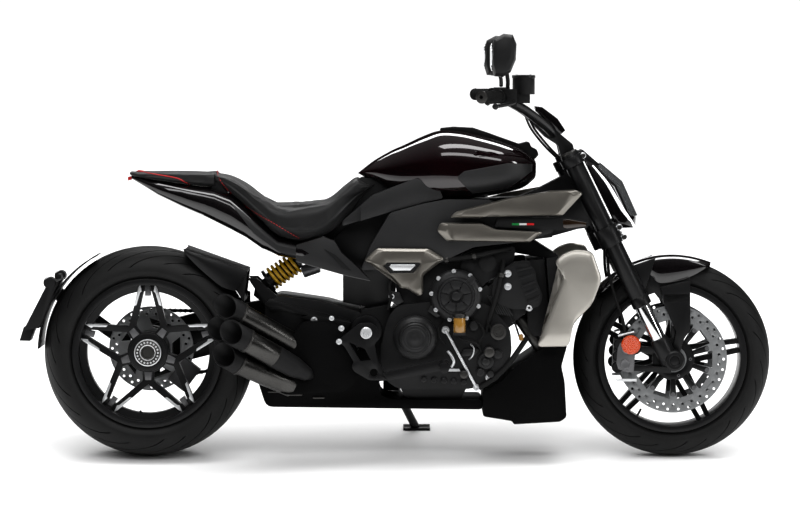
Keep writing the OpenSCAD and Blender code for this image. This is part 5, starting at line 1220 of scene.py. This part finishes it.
studio = {"floor": ((0.85, 0.85, 0.85), (0.87, 0.87, 0.87)), "reach": 60.0, "diffuse": 0.86,
          "glossy": 0.12, "rise": (0.08, 2.1, 0.25, 0.9), "lights": (
    ("key", (0.2, -0.6, 5.0), (0, 0, 0.6), (5.0, 1.4), 120), ("strip", (0.0, -4.4, 4.6), (0, 0, 0.8), (7.0, 1.1), 90),
    ("rim", (4.6, -2.6, 2.2), (0.5, 0, 0.7), (0.5, 2.6), 40), ("back", (0.2, 4.4, 3.6), (0, 0, 0.8), (4.5, 1.2), 80))}


def areaLight(name, place, target, size, power):
    data = bpy.data.lights.new(name, "AREA")
    data.shape = "RECTANGLE"
    data.size, data.size_y = size
    data.energy = power
    lamp = bpy.data.objects.new(name, data)
    bpy.context.scene.collection.objects.link(lamp)
    lamp.location = place
    lamp.rotation_mode = "QUATERNION"
    lamp.rotation_quaternion = (Vector(target) - Vector(place)).to_track_quat("-Z", "Y")


def makeStudio():
    # the room is bright for diffuse light and dim in reflections, so the blacks stay deep; its light comes
    # mostly from overhead, so the shadow under the bike is dark
    world = bpy.data.worlds.new("studio")
    bpy.context.scene.world = world
    world.use_nodes = True
    tree = world.node_tree
    glossy = addNode(tree, "ShaderNodeLightPath").outputs["Is Glossy Ray"]
    place = addNode(tree, "ShaderNodeTexCoord").outputs["Generated"]
    height = addNode(tree, "ShaderNodeSeparateXYZ", links={"Vector": place}).outputs["Z"]
    room = rangeNode(tree, glossy, studio["diffuse"], studio["glossy"], 0, 1)
    total = addNode(tree, "ShaderNodeMath", links={0: room, 1: rangeNode(tree, height, *studio["rise"])},
                    operation="MULTIPLY")
    feed(tree, tree.nodes["Background"], {"Strength": total.outputs["Value"]})
    tree.nodes["Background"].inputs["Color"].default_value = (1, 1, 1, 1)
    mat, tree, shader = newShader("paleFloor", studio["floor"][0], 0.6)
    feed(tree, shader, {"Base Color": toneNode(tree, noiseNode(tree, 2.0), *studio["floor"])})
    # flat square floor, a grid of two points by two
    ends = (-studio["reach"], studio["reach"])
    x, y = np.meshgrid(ends, ends, indexing="ij")
    mesh = bpy.data.meshes.new("floor")
    mesh.from_pydata(np.stack([x, y, 0 * x], -1).reshape(-1, 3).tolist(), [], gridFaces(2, 2).tolist())
    floor = bpy.data.objects.new("floor", mesh)
    floor.data.materials.append(mat)
    bpy.context.scene.collection.objects.link(floor)
    for lamp in studio["lights"]:
        areaLight(*lamp)


view = {"target": (-32.0, 0.0, 595.0), "distance": 10000.0, "drop": 3.5, "fieldWidth": 2440.0, "sensor": 36}


def makeCamera():
    # the photo looks square at the upright bike from a little above, so the camera leans with it
    data = bpy.data.cameras.new("camera")
    camera = bpy.data.objects.new("camera", data)
    bpy.context.scene.collection.objects.link(camera)
    drop = math.radians(view["drop"])
    target = toRow(view["target"])
    place = toRow(np.array(view["target"]) + view["distance"]
                  * np.array([0, -math.cos(drop), math.sin(drop)]))
    back = unit(place - target)
    right = np.array([1.0, 0, 0])
    up = np.cross(back, right)
    m = Matrix.Identity(4)
    for k, column in enumerate((right, up, back, place)):
        for r in range(3):
            m[r][k] = column[r]
    camera.matrix_world = m
    data.sensor_width = view["sensor"]
    data.lens = view["sensor"] * view["distance"] / view["fieldWidth"]
    data.clip_end = 100
    bpy.context.scene.camera = camera


bpy.context.scene.view_settings.view_transform = "Standard"
bpy.context.scene.view_settings.look = "Medium High Contrast"
makeStudio()
makeCamera()
